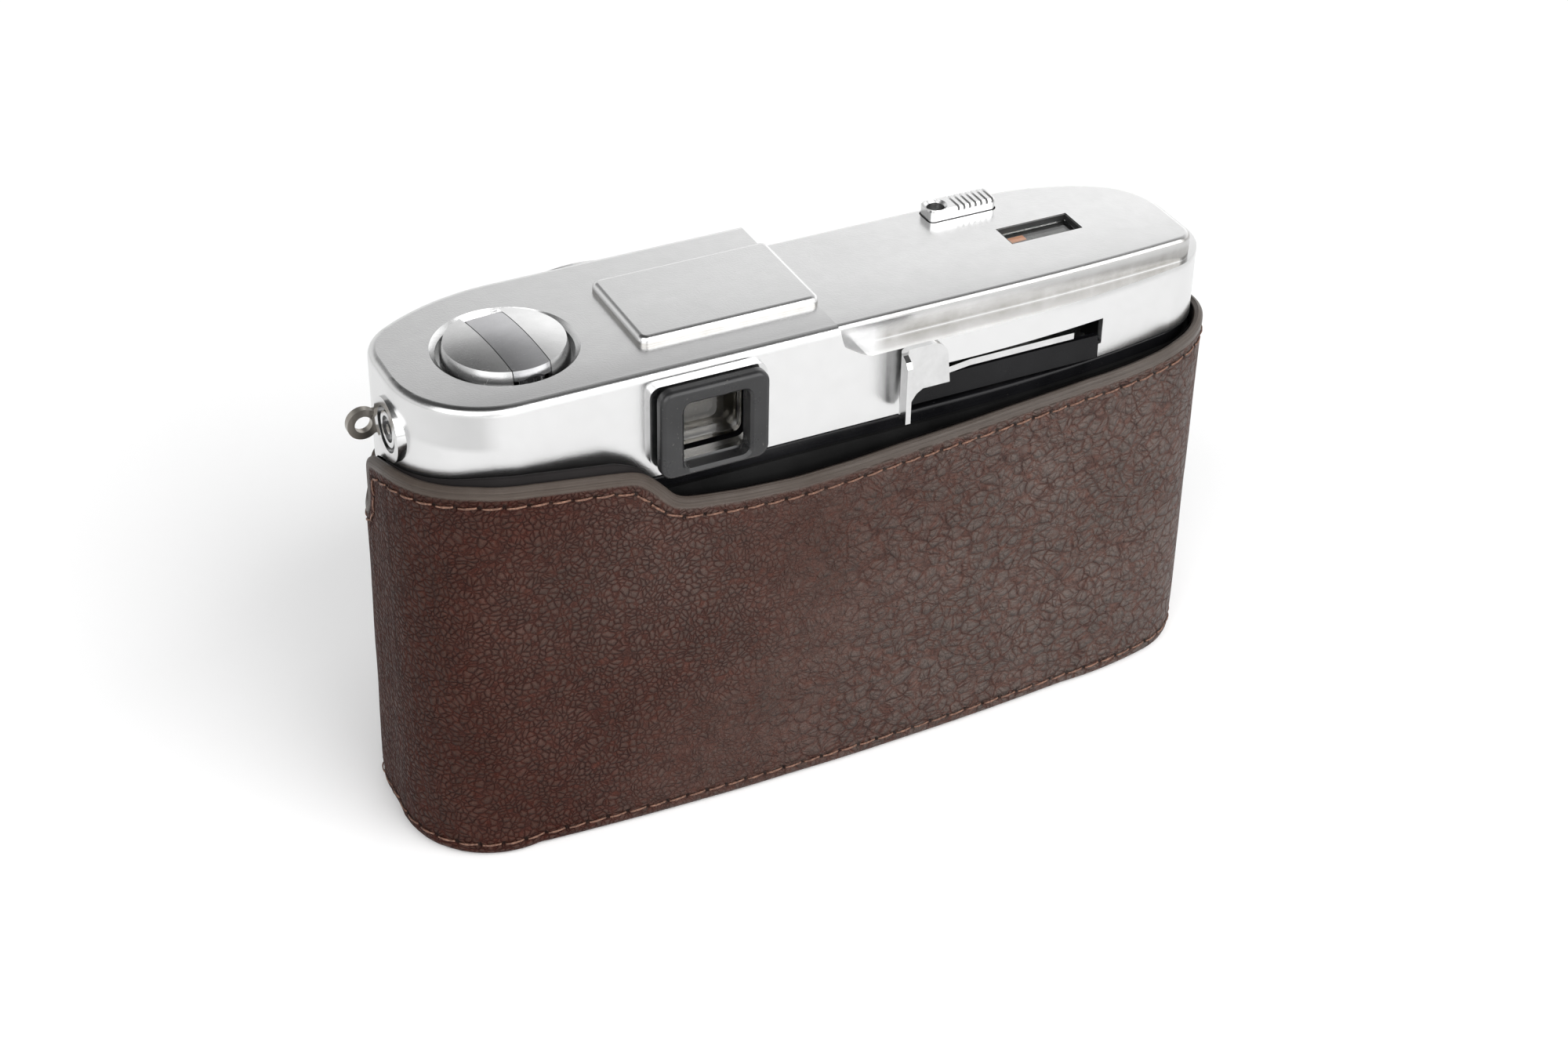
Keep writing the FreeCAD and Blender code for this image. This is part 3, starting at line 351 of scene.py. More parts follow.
    # burnished edge
    lines = m.noise(1.0, 4.0, 0.7, vec=m.mapped((0.5, 0.5, 1.0), src=m.attr("bandv", vector=True))).outputs["Fac"]
    ecol = m.mix(m.ramp(lines, [(0.3, 0.0), (0.7, 1.0)]), (0.044, 0.034, 0.028), (0.074, 0.060, 0.051))
    ecol = m.mix(m.ramp(m.noise(1.4, 5.0, 0.7, vec=flow).outputs["Fac"], [(0.4, 0.0), (0.72, 0.6)]), ecol, (0.036, 0.026, 0.020))
    col = m.mix(edge, col, ecol)
    m.link(col, "Base Color")
    ro = m.ramp(m.noise(9.0, 4.0, 0.6, vec=flow).outputs["Fac"], [(0.3, 0.40), (0.7, 0.56)])
    ro = m.mix(m.math("MULTIPLY", line, 0.7), ro, (0.85, 0.85, 0.85))
    ro = m.mix(edge, ro, (0.40, 0.40, 0.40))
    m.link(ro, "Roughness")
    keep = m.math("SUBTRACT", 1.0, edge)
    h = m.math("MULTIPLY", m.ramp(dL, [(0.0, 0.0), (0.07, 0.45), (0.20, 0.85), (0.36, 1.0)]), m.math("MULTIPLY", coarse, 0.45))
    h = m.math("ADD", h, m.math("MULTIPLY", m.ramp(fL, [(0.0, 1.0), (0.30, 0.80), (0.55, 0.35), (0.80, 0.0)]), m.math("MULTIPLY", coarse, 0.60)))
    h = m.math("ADD", h, m.math("MULTIPLY", m.ramp(fM, [(0.0, 1.0), (0.30, 0.80), (0.55, 0.35), (0.80, 0.0)]), m.math("MULTIPLY", coarse, 0.38)))
    h = m.math("ADD", h, m.math("MULTIPLY", m.ramp(fF, [(0.0, 1.0), (0.30, 0.80), (0.55, 0.35), (0.80, 0.0)]), m.math("MULTIPLY", fineness, 0.34)))
    h = m.math("ADD", h, m.math("MULTIPLY", m.ramp(dM, [(0.0, 0.0), (0.08, 0.55), (0.22, 1.0)]), m.math("MULTIPLY", coarse, 0.26)))
    h = m.math("ADD", h, m.math("MULTIPLY", m.ramp(dF, [(0.0, 0.0), (0.10, 0.55), (0.30, 1.0)]), m.math("MULTIPLY", fineness, 0.42)))
    h = m.math("ADD", h, m.math("MULTIPLY", m.ramp(dS, [(0.0, 0.0), (0.25, 1.0)]), 0.10))
    h = m.math("ADD", h, m.math("MULTIPLY", m.noise(40.0, 3.0, 0.6, vec=flow).outputs["Fac"], 0.20))
    h = m.math("MULTIPLY", h, keep)
    h = m.math("ADD", h, m.math("MULTIPLY", m.math("MULTIPLY", lines, edge), 0.25))
    m.bump(h, 1.0, 0.00085)
    return m


M_LEATHER = leather_material()


def thread_material():
    m = Mat("waxed_thread", rough=0.55, spec=0.3)
    flow = m.mapped((1, 1, 1))
    n = m.noise(2500.0, 3.0, 0.6, vec=flow).outputs["Fac"]
    m.link(m.mix(m.ramp(n, [(0.35, 0.0), (0.7, 1.0)]), (0.065, 0.030, 0.020), (0.20, 0.105, 0.070)), "Base Color")
    m.bump(n, 0.5, 0.00008)
    return m


M_THREAD = thread_material()


# ------------------------------------------------------------------ the plan outline
HW, YB, YF = 63.5, 16.0, -16.0
CORN = {"br": (14.0, 14.0, 14.0), "bl": (24.0, 12.5, 11.0), "f": (21.8, 12.7, 9.0)}


def outline_points(ins, bulge):
    parts = []
    for key, sx, sy in (("br", 1, 1), ("bl", -1, 1), ("f", -1, -1), ("f", 1, -1)):
        A, B, r1 = CORN[key]
        cx, cy = sx * (HW - A - (1.5 if sx < 0 else 0.0)), (YB if sy > 0 else YF) - sy * B
        if abs(A - B) < 1e-6:
            arcs = [((0.0, 0.0), A - ins, 0.0, math.pi / 2)]
        else:
            r2 = ((A - r1) ** 2 + B ** 2 - r1 ** 2) / (2 * (B - r1))
            beta = math.atan2(r2 - B, A - r1)
            arcs = [((A - r1, 0.0), r1 - ins, 0.0, beta), ((0.0, B - r2), r2 - ins, beta, math.pi / 2)]
        pts = []
        for (ox, oy), r, a0, a1 in arcs:
            a = np.linspace(a0, a1, 160)
            pts.append(np.stack([cx + sx * (ox + r * np.cos(a)), cy + sy * (oy + r * np.sin(a))], 1))
        pts = np.concatenate(pts)
        if sx * sy < 0:
            pts = pts[::-1]
        parts.append(pts)
    out = []
    for i, p in enumerate(parts):
        out.append(p)
        q = parts[(i + 1) % 4][0]
        if i == 0 and bulge:
            a, b = p[-1], q
            half = np.linalg.norm(b - a) / 2
            Rr = (half ** 2 + bulge ** 2) / (2 * bulge)
            mid = (a + b) / 2
            c = mid + np.array([0, bulge - Rr])
            an0 = math.atan2(a[1] - c[1], a[0] - c[0]); an1 = math.atan2(b[1] - c[1], b[0] - c[0])
            t = np.linspace(an0, an1, 500)[1:-1]
            out.append(np.stack([c[0] + Rr * np.cos(t), c[1] + Rr * np.sin(t)], 1))
        else:
            n = max(2, int(np.linalg.norm(q - p[-1]) / 0.4))
            t = np.linspace(0, 1, n + 1)[1:-1, None]
            out.append(p[-1] + (q - p[-1]) * t)
    P = np.concatenate(out)
    keep = np.linalg.norm(P - np.roll(P, 1, 0), axis=1) > 1e-5
    return P[keep]


class Path:
    """Closed plan outline by arc length, with outward normals."""

    def __init__(self, ins, bulge):
        P = outline_points(ins, bulge)
        Q = np.concatenate([P, P[:1]])
        d = np.linalg.norm(np.diff(Q, axis=0), axis=1)
        s = np.concatenate([[0], np.cumsum(d)])
        self.S = s[-1]
        n = 6000
        u = np.linspace(0, self.S, n, endpoint=False)
        self.x = np.interp(u, s, Q[:, 0]); self.y = np.interp(u, s, Q[:, 1])
        tx = np.roll(self.x, -6) - np.roll(self.x, 6); ty = np.roll(self.y, -6) - np.roll(self.y, 6)
        k = np.ones(25) / 25
        tx = np.convolve(np.concatenate([tx[-12:], tx, tx[:12]]), k, "valid"); ty = np.convolve(np.concatenate([ty[-12:], ty, ty[:12]]), k, "valid")
        L = np.hypot(tx, ty)
        self.nx, self.ny = ty / L, -tx / L
        self.n = n
        self.u = u

    def at(self, s):
        s = np.mod(s, self.S)
        f = s / self.S * self.n
        i = np.floor(f).astype(int) % self.n; j = (i + 1) % self.n; w = f - np.floor(f)
        g = lambda a: a[i] * (1 - w) + a[j] * w
        return g(self.x), g(self.y), g(self.nx), g(self.ny)

    def s_of(self, x=None, y=None, side=None):
        """Arc length where the outline passes x on the back or front, or y on an end wall."""
        if x is not None:
            ok = self.ny > 0.02 if side == "back" else self.ny < -0.02
            e = np.abs(self.x - x) + np.where(ok, 0, 1e3)
        else:
            ok = self.nx > 0.02 if side == "left" else self.nx < -0.02
            e = np.abs(self.y - y) + np.where(ok, 0, 1e3)
        return self.u[int(np.argmin(e))]


CASE = Path(-1.8, 1.7)
S = CASE.S


def gsm(a, sig, n=None):
    """Periodic gaussian smoothing; sig in samples."""
    k = int(max(1, 3 * sig))
    w = np.exp(-0.5 * (np.arange(-k, k + 1) / sig) ** 2); w /= w.sum()
    return np.convolve(np.concatenate([a[-k:], a, a[:k]]), w, "valid")


def worley(px, pz, cell, seed, jitter=0.9, stretch=1.0):
    """F1, F2 of cellular noise on the unrolled surface (mm). Periodic along px with period S."""
    nx = max(4, int(round(S / (cell * stretch)))); cw = S / nx
    ch = cell
    r = np.random.default_rng(seed)
    nz = int(90 / ch) + 6
    jx = r.random((nx, nz)) * jitter + (1 - jitter) / 2; jz = r.random((nx, nz)) * jitter + (1 - jitter) / 2
    gx = px / cw; gz = pz / ch + 2
    ix = np.floor(gx).astype(int); iz = np.floor(gz).astype(int)
    f1 = np.full(px.shape, 9.0); f2 = np.full(px.shape, 9.0)
    for dx in (-2, -1, 0, 1, 2):
        for dz in (-2, -1, 0, 1, 2):
            cx = ix + dx; cz = np.clip(iz + dz, 0, nz - 1)
            m = cx % nx
            ddx = (cx + jx[m, cz] - gx) * 1.0; ddz = (cz + jz[m, cz] - gz)
            d = np.sqrt(ddx ** 2 + ddz ** 2)
            near = d < f1
            f2 = np.where(near, f1, np.minimum(f2, d)); f1 = np.where(near, d, f1)
    return f1, f2


def vnoise(px, pz, cell, seed):
    """Smooth value noise on the unrolled surface, -1..1, periodic in px."""
    nx = max(3, int(round(S / cell))); cw = S / nx
    nz = int(90 / cell) + 6
    g = np.random.default_rng(seed).random((nx, nz)) * 2 - 1
    x = px / cw; z = pz / cell + 2
    ix = np.floor(x).astype(int); iz = np.clip(np.floor(z).astype(int), 0, nz - 2)
    fx = x - ix; fz = np.clip(z - iz, 0, 1)
    fx = fx * fx * (3 - 2 * fx); fz = fz * fz * (3 - 2 * fz)
    a = g[ix % nx, iz]; b = g[(ix + 1) % nx, iz]; c = g[ix % nx, iz + 1]; d = g[(ix + 1) % nx, iz + 1]
    return (a * (1 - fx) + b * fx) * (1 - fz) + (c * (1 - fx) + d * fx) * fz


# rim of the case, as a line on the unrolled wall: (along, height)
sB = lambda x: CASE.s_of(x=x, side="back")
sF = lambda x: CASE.s_of(x=x, side="front")
sL = lambda y: CASE.s_of(y=y, side="left")
sR = lambda y: CASE.s_of(y=y, side="right")
LXc, LZc, RU = 20.5, 37.2, 27.6
rim = []
rim += [(sL(3.8), 61.7), (sL(8.0), 62.2), (sB(57), 63.0), (sB(52), 62.7), (sB(46), 62.1), (sB(38), 61.3), (sB(35.3), 60.9), (sB(33.4), 60.2), (sB(31.8), 58.9), (sB(30.2), 57.2), (sB(28.9), 55.6), (sB(27.6), 54.9), (sB(26.0), 54.6),
        (sB(19.2), 53.9), (sB(10.4), 53.5), (sB(1), 53.9), (sB(-6.5), 54.5), (sB(-13), 54.8), (sB(-24), 55.4), (sB(-37.5), 55.9), (sB(-46), 56.3), (sB(-52), 56.7), (sB(-55), 57.3), (sR(10), 58.0), (sR(4), 57.4), (sR(-1.2), 55.9), (sR(-2.9), 55.2), (sR(-3.9), 54.3), (sR(-4.0), 52.9)]
for a in np.linspace(0, math.pi, 11)[1:-1]:
    rim.append((sR(-7.25 + 3.25 * math.cos(a)), 52.9 - 3.25 * math.sin(a)))
rim += [(sR(-10.5), 52.9), (sR(-10.6), 53.6), (sR(-11.6), 54.4), (sF(-56), 53.4), (sF(-50), 53.0), (sF(-32.2), 53.0), (sF(-30.2), 52.5), (sF(-29.9), 51.0), (sF(-29.9), 46.5)]
for a in np.linspace(math.pi, 1.5 * math.pi + 0.28, 12)[1:]:
    rim.append((sF(-17.5 + 12.4 * math.cos(a)), 46.5 + 12.4 * math.sin(a)))
rim.append((sF(-9.0), 34.4))
a0 = math.pi + math.asin((LZc - 34.4) / RU)
for a in np.linspace(a0, 2 * math.pi, 44):
    rim.append((sF(LXc + RU * math.cos(a)), LZc + RU * math.sin(a)))
rim += [(sF(48.1), 50.8), (sF(48.4), 52.4), (sF(50.4), 53.0), (sF(58), 53.4), (sL(-12), 54.9), (sL(-11.4), 54.9), (sL(-10.5), 54.2), (sL(-10.5), 52.9)]
for a in np.linspace(0, math.pi, 11)[1:-1]:
    rim.append((sL(-7.25 - 3.25 * math.cos(a)), 52.9 - 3.25 * math.sin(a)))
rim += [(sL(-4.0), 52.9), (sL(-4.0), 57.6), (sL(-3.6), 58.8), (sL(-2.4), 59.6), (sL(1.0), 60.8)]
rim = np.array(rim, float)
# the last stretch (left end, going round to the start) carries on past S
for i in range(1, len(rim)):
    while rim[i, 0] < rim[i - 1, 0] - S / 2:
        rim[i:, 0] += S
    rim[i, 0] = max(rim[i, 0], rim[i - 1, 0] + 0.002)
rim[:, 0] -= 0.0
close = np.array([[rim[0, 0] + S, rim[0, 1]]])
RR = np.concatenate([rim, close])
dl = np.linalg.norm(np.diff(RR, axis=0), axis=1)
tl = np.concatenate([[0], np.cumsum(dl)])
T = tl[-1]
M_COL = 1500
tt = np.linspace(0, T, M_COL, endpoint=False)
sr = np.interp(tt, tl, RR[:, 0]); zr = np.interp(tt, tl, RR[:, 1])
per = T / M_COL
lin = rim[0, 0] + S * tt / T
dev = gsm(sr - lin, 0.75 / per); zr = gsm(zr, 0.75 / per)
sr = lin + dev
sb = lin + gsm(sr - lin, 11.0 / per)
# rim normal in the unrolled plane, pointing out of the leather
ds = np.roll(dev, -2) - np.roll(dev, 2) + 4 * S / M_COL; dz = np.roll(zr, -2) - np.roll(zr, 2)
ln = np.hypot(ds, dz)
rn_s, rn_z = -dz / ln, ds / ln
rn_s = gsm(rn_s, 2.0); rn_z = gsm(rn_z, 2.0); ln = np.hypot(rn_s, rn_z); rn_s /= ln; rn_z /= ln

TH = 1.5
rows = []      # each: s, z, inset, edge flag, band coordinate, is_outer


def addrow(s, z, ins, edge, band, outer):
    rows.append((np.asarray(s, float) * np.ones(M_COL), np.asarray(z, float) * np.ones(M_COL), np.asarray(ins, float) * np.ones(M_COL), edge, band, outer))


RB = 1.3
for a in np.linspace(0, math.pi / 2, 7)[:-1]:
    addrow(sb, RB * (1 - math.sin(a)), RB * (1 - math.cos(math.pi / 2 - a)) if False else RB * (1 - math.cos(a)) if False else RB - RB * math.sin(math.pi / 2 - (math.pi / 2 - a)), 0.0, 0.0, 1)
rows.clear()
for a in np.linspace(0, math.pi / 2, 7)[:-1]:
    addrow(sb, RB * (1 - math.cos(a)), RB * (1 - math.sin(a)), 0.0, 0.0, 1)
K = 165
er = 0.70
s_top = sr - er * rn_s; z_top = zr - er * rn_z
for k in range(K + 1):
    v = k / K
    w = v * v * (3 - 2 * v)
    w = w * w * (3 - 2 * w)
    addrow(sb * (1 - w) + s_top * w, RB * (1 - v) + z_top * v, 0.0, 0.0, 0.0, 1)
n_wall = len(rows)
for a in np.linspace(0, math.pi / 2, 6)[1:]:
    addrow(sr - er * rn_s * (1 - math.sin(a)), zr - er * rn_z * (1 - math.sin(a)), er * (1 - math.cos(a)), 1.0, 0.05 + 0.15 * a, 1)
for v in np.linspace(0, 1, 7)[1:-1]:
    crown = 0.07 * math.sin(math.pi * v)
    addrow(sr + crown * rn_s, zr + crown * rn_z, er + (TH - 2 * er) * v, 1.0, 0.3 + 0.4 * v, 1)
for a in np.linspace(0, math.pi / 2, 5):
    addrow(sr - er * rn_s * (1 - math.cos(a)), zr - er * rn_z * (1 - math.cos(a)), TH - er * (1 - math.sin(a)), 1.0, 0.75 + 0.15 * a, 0)
n_in = len(rows)
LIP = [(0.10, 0.45), (0.35, 0.80), (0.75, 0.80), (1.05, 0.40)]      # black inner lining, standing above the rim where the case gapes
for _ in LIP:
    addrow(s_top, z_top + er, TH, 0.0, 1.0, 0)
for v in np.linspace(0, 1, 26)[1:]:
    w = v * v * (3 - 2 * v)
    addrow(s_top * (1 - w) + sb * w, z_top * (1 - v) + 4.0 * v, TH, 0.0, 1.0, 0)

SS = np.array([r[0] for r in rows]); ZZ = np.array([r[1] for r in rows]); II = np.array([r[2] for r in rows])
EDGE = np.array([np.full(M_COL, r[3]) for r in rows]); BAND = np.array([np.full(M_COL, r[4]) for r in rows]); OUT = np.array([np.full(M_COL, r[5]) for r in rows])

# grain: large pebbles to the right (towards -X), finer to the left
X0, Y0, NX, NY = CASE.at(SS)
wx = SS + 1.1 * vnoise(SS, ZZ, 5.0, 11) + 0.35 * vnoise(SS, ZZ, 1.6, 12)
wz = ZZ + 1.1 * vnoise(SS + 31, ZZ, 5.0, 13) + 0.35 * vnoise(SS + 17, ZZ, 1.6, 14)
f1a, f2a = worley(wx, wz, 1.75, 21, stretch=1.12)
f1b, f2b = worley(wx, wz, 1.02, 22, stretch=1.1)
f1c, f2c = worley(wx * 1.0, wz, 5.2, 23, stretch=1.0)
size = np.clip((34.0 - X0 - 0.35 * (ZZ - 30)) / 42.0 + 0.30 * vnoise(SS, ZZ, 14.0, 31), 0, 1)           # 0 fine .. 1 coarse
size = np.where(NY < -0.3, 0.5, size)
ca = np.exp(-((f2a - f1a) / 0.115) ** 2)
cb = np.exp(-((f2b - f1b) / 0.13) ** 2)
cc = np.exp(-((f2c - f1c) / 0.045) ** 2)
big_break = 0.5 + 0.5 * vnoise(SS, ZZ, 2.4, 41)
RECESS_SHADE = np.clip(ca * size * (0.55 + 0.6 * big_break) + cb * (0.32 + 0.30 * (1 - size)) * (0.4 + 0.8 * (0.5 + 0.5 * vnoise(SS, ZZ, 3.1, 43))) + 0.55 * cc * big_break, 0, 1)
dome = np.clip(1 - f1a / 0.75, 0, 1) * size * 0.7 + np.clip(1 - f1b / 0.75, 0, 1) * 0.35
HGT = 0.05 * vnoise(SS, ZZ, 9.0, 51) + 0.10 * vnoise(SS, ZZ, 30.0, 52)
# upright wrinkles on the left end, where the leather is drawn round the corner
left_end = np.clip((NX - 0.45) / 0.4, 0, 1)
HGT += left_end * 0.10 * np.abs(vnoise(SS * 1.0, ZZ * 0.16 + 2.5 * vnoise(SS, ZZ, 8.0, 62) * 0.16, 1.3, 61)) * -1.0
# painted shade in the valleys of the upright wrinkles
RECESS_SHADE = np.clip(left_end * 0.25 * np.exp(-(vnoise(SS, ZZ * 0.16, 1.3, 61) / 0.16) ** 2), 0, 1)

# distance below the rim, along the surface, for fading the grain and marking the burnished band
rt = np.stack([sr, zr], 1)
D_RIM = np.full(SS.shape, 9.0)
for k in range(6 + K + 1):
    # near the top rows only
    if k < 100:
        continue
    best = np.full(M_COL, 9.0)
    for sh in range(-26, 27, 2):
        q = np.roll(rt, sh, 0)
        dsx = SS[k] - q[:, 0]
        dsx = (dsx + S / 2) % S - S / 2
        best = np.minimum(best, np.hypot(dsx, ZZ[k] - q[:, 1]))
    D_RIM[k] = best
fade = np.clip((D_RIM - 1.45) / 0.4, 0, 1)
fade[n_wall:] = 0
BURN = np.clip((1.75 - D_RIM) / 0.25, 0, 1)
BURN[n_wall:] = 0
BAND = np.where((BURN > 0) & (EDGE < 0.5), -0.12 * D_RIM, BAND)
HGT *= fade; RECESS_SHADE *= fade * (EDGE < 0.5)

# stitch line: 2.0 mm inside the rim, and one 2.1 mm above the bottom edge
OFF = 2.85


def offset_line(off):
    s_, z_ = sr - off * rn_s, zr - off * rn_z
    # drop the columns whose offset folds back on itself
    ok = np.ones(M_COL, bool)
    for sh in range(-60, 61, 3):
        if sh == 0:
            continue
        q = np.roll(rt, sh, 0)
        dd = (s_ - q[:, 0] + S / 2) % S - S / 2
        ok &= np.hypot(dd, z_ - q[:, 1]) > off * 0.95
    return s_[ok], z_[ok]


ls, lz = offset_line(OFF)


def walk(ls, lz, pitch):
    ls = np.concatenate([ls, ls[:1] + S]); lz = np.concatenate([lz, lz[:1]])
    d = np.hypot(np.diff(ls), np.diff(lz)); d = np.where(d > 12, 0, d)
    c = np.concatenate([[0], np.cumsum(d)])
    n = int(c[-1] / pitch)
    q = np.linspace(0, c[-1], n, endpoint=False)
    return np.interp(q, c, ls), np.interp(q, c, lz), c, ls, lz


def press_in(ps, pz, rad, depth, k0, k1):
    """Dimple the outer wall at given places and paint shade into the dimples."""
    global HGT, RECESS_SHADE
    for a, b in zip(ps, pz):
        col = np.argmin(np.abs(((sr - a + S / 2) % S) - S / 2) + 0.4 * np.abs(zr - b))
        idx = (np.arange(col - 90, col + 91)) % M_COL
        sub = np.ix_(np.arange(k0, k1), idx)
        dsx = (SS[sub] - a + S / 2) % S - S / 2
        g = np.exp(-(dsx ** 2 + (ZZ[sub] - b) ** 2) / (2 * rad ** 2))
        HGT[sub] -= depth * g
        RECESS_SHADE[sub] = np.maximum(RECESS_SHADE[sub], 1.0 * (g > 0.45))


PITCH = 3.1
hs, hz, cum, lss, lzz = walk(ls, lz, PITCH)
press_in(hs, hz, 0.27, 0.30, 60, n_wall)
gs, gz = np.interp(np.arange(0, cum[-1], 0.5), cum, lss), np.interp(np.arange(0, cum[-1], 0.5), cum, lzz)
# painted shade along the stitch groove
for a, b in zip(gs, gz):
    col = np.argmin(np.abs(((sr - a + S / 2) % S) - S / 2) + 0.4 * np.abs(zr - b))
    idx = (np.arange(col - 60, col + 61)) % M_COL
    sub = np.ix_(np.arange(60, n_wall), idx)
    dsx = (SS[sub] - a + S / 2) % S - S / 2
    r2_ = dsx ** 2 + (ZZ[sub] - b) ** 2
    RECESS_SHADE[sub] = np.maximum(RECESS_SHADE[sub], 0.75 * np.exp(-r2_ / (2 * 0.16 ** 2)))
    HGT[sub] = np.where(r2_ < 1.2, np.minimum(HGT[sub], 0.04 - 0.15 * np.exp(-r2_ / (2 * 0.33 ** 2)) + 0.0 * r2_ + (1 - np.exp(-r2_ / (2 * 0.5 ** 2))) * 0.3), HGT[sub])
ZBOT = 2.15
nb = int(S / PITCH)
bs_ = np.linspace(0, S, nb, endpoint=False)
g = np.exp(-((ZZ - ZBOT) / 0.35) ** 2 / 2) * (OUT > 0.5) * (EDGE < 0.5)
HGT -= 0.12 * g
dsx = (SS - 0) % (S / nb); dsx = np.minimum(dsx, S / nb - dsx)
gh = np.exp(-(dsx ** 2 + (ZZ - ZBOT) ** 2) / (2 * 0.27 ** 2)) * (OUT > 0.5) * (EDGE < 0.5)
HGT -= 0.28 * gh
# painted shade in the bottom stitch holes
RECESS_SHADE = np.maximum(RECESS_SHADE, (gh > 0.45) * 1.0)

bend = np.zeros_like(HGT)
INS = II - HGT * (OUT > 0.5) * (EDGE < 0.5)


def give(x, nx, ny, z):
    """How the leather stands away from the body: flare to the bottom of the back corner, lean of the rim beside the step."""
    down = np.clip((52.0 - z) / 50.0, 0, 1)
    flare = down * (0.55 * np.clip(nx, 0, 1) + 2.4 * np.clip(nx, 0, 1) * np.clip(ny, 0, 1))
    lean = np.clip((z - 48.0) / 12.0, 0, 1) ** 1.5 * np.clip((x - 31.5) / 6.0, 0, 1) * np.clip((66.0 - x) / 12.0, 0, 1) * np.clip(ny / 0.5, 0, 1)
    return flare, lean


flare, lean = give(X0, NX, NY, ZZ)
INS = INS - flare * (II < TH * 0.9) - 1.25 * lean
PZ = ZZ + 0.75 * lean
rim_lean = lean[n_in - 1]
for i_, (li_, lz_) in enumerate(LIP):
    INS[n_in + i_] += li_ * rim_lean
    PZ[n_in + i_] += lz_ * rim_lean
INS[n_in + len(LIP):] += 1.05 * lean[n_in + len(LIP):]
PX = X0 - NX * INS; PY = Y0 - NY * INS
# keep the flat foot flat
PZ = np.maximum(PZ, 0.0)

verts = np.stack([PX, PY, PZ], 2).reshape(-1, 3)
R_ = len(rows)
at_recess_shade = RECESS_SHADE.reshape(-1); at_edge = np.maximum(EDGE, BURN).reshape(-1); at_band = BAND.reshape(-1)
FLOWV = np.stack([SS / 10, ZZ / 10, np.zeros_like(SS)], 2).reshape(-1, 3)
BANDV = np.stack([SS * 0.02, BAND * 26.0, np.zeros_like(SS)], 2).reshape(-1, 3)
at_coarse = size.reshape(-1)
tone = np.clip(0.62 - 0.012 * X0 + 0.25 * vnoise(SS, ZZ, 22.0, 71), 0, 1)
at_tone = tone.reshape(-1)

# the underside with the recess for the case screw, then up through it to the inner floor
cx, cy = -10.0, 0.0
extra_v, extra_f = [], []


def ring_from(loop, r, z, ang):
    return np.stack([cx + r * np.cos(ang), cy + r * np.sin(ang), np.full(M_COL, z)], 1)


bot = verts[:M_COL]
ang = np.unwrap(np.arctan2(bot[:, 1] - cy, bot[:, 0] - cx))
rings = []
circ = ring_from(bot, 9.0, 0.0, ang)
for w in (0.33, 0.66, 0.92):
    rings.append(bot * (1 - w) + circ * w)
rings += [circ, ring_from(bot, 8.8, 0.25, ang), ring_from(bot, 8.8, 2.5, ang), ring_from(bot, 4.2, 2.5, ang), ring_from(bot, 4.2, 4.0, ang)]
inn = verts[-M_COL:]
circ2 = ring_from(bot, 4.2, 4.0, np.unwrap(np.arctan2(inn[:, 1] - cy, inn[:, 0] - cx)))
for w in (0.9, 0.5):
    rings.append(inn * (1 - w) + circ2 * w)
V_all = np.concatenate([verts] + rings)
nr = len(rings)
j = np.arange(M_COL); jn = (j + 1) % M_COL
faces = []
for r in range(R_ - 1):
    a = r * M_COL
    faces.append(np.stack([a + j, a + jn, a + M_COL + jn, a + M_COL + j], 1))
n_side = (R_ - 1) * M_COL
base = R_ * M_COL
seq = [0] + [base + k * M_COL for k in range(nr)] + [(R_ - 1) * M_COL]
for a, b in zip(seq[:-1], seq[1:]):
    faces.append(np.stack([a + jn, a + j, b + j, b + jn], 1))
Fq = np.concatenate(faces)


def mesh_from(name, V, F, mats, mat_idx=None, smooth=True, attrs=None):
    me = bpy.data.meshes.new(name)
    V = np.asarray(V, float) * MM
    nf = len(F)
    k = F.shape[1]
    me.vertices.add(len(V)); me.vertices.foreach_set("co", V.astype(np.float32).ravel())
    me.loops.add(nf * k); me.loops.foreach_set("vertex_index", F.astype(np.int32).ravel())
    me.polygons.add(nf); me.polygons.foreach_set("loop_start", np.arange(0, nf * k, k, dtype=np.int32)); me.polygons.foreach_set("loop_total", np.full(nf, k, np.int32))
    for mt in mats:
        me.materials.append(mt.m)
    if mat_idx is not None:
        me.polygons.foreach_set("material_index", mat_idx.astype(np.int32))
    me.polygons.foreach_set("use_smooth", np.full(nf, smooth, bool))
    for an, (kind, dat) in (attrs or {}).items():
        at = me.attributes.new(an, kind, "POINT")
        at.data.foreach_set("vector" if kind == "FLOAT_VECTOR" else "value", np.asarray(dat, np.float32).ravel())
    me.update(); me.validate()
    ob = bpy.data.objects.new(name, me)
    SC.collection.objects.link(ob)
    return ob


pad = len(V_all) - len(verts)
ext = lambda a, v: np.concatenate([a, np.full(pad, v)])
FLOWX = np.concatenate([FLOWV] + [np.stack([r_[:, 0] / 10, r_[:, 1] / 10, np.zeros(M_COL)], 1) for r_ in rings])
BANDX = np.concatenate([BANDV, np.zeros((pad, 3))])
midx = np.zeros(len(Fq), int)
midx[(n_in - 1) * M_COL:n_side] = 1
midx[n_side + (nr - 2) * M_COL:] = 1
case = mesh_from("case_leather", V_all, Fq, [M_LEATHER, M_LINING], midx, True,
                 {"flow": ("FLOAT_VECTOR", FLOWX), "bandv": ("FLOAT_VECTOR", BANDX), "recess_shade": ("FLOAT", ext(at_recess_shade, 0)), "edge": ("FLOAT", ext(at_edge, 0)), "band": ("FLOAT", ext(at_band, 0)),
                  "coarse": ("FLOAT", ext(at_coarse, 0.5)), "tone": ("FLOAT", ext(at_tone, 0.4))})
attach(case, "case")
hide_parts("leather_case")


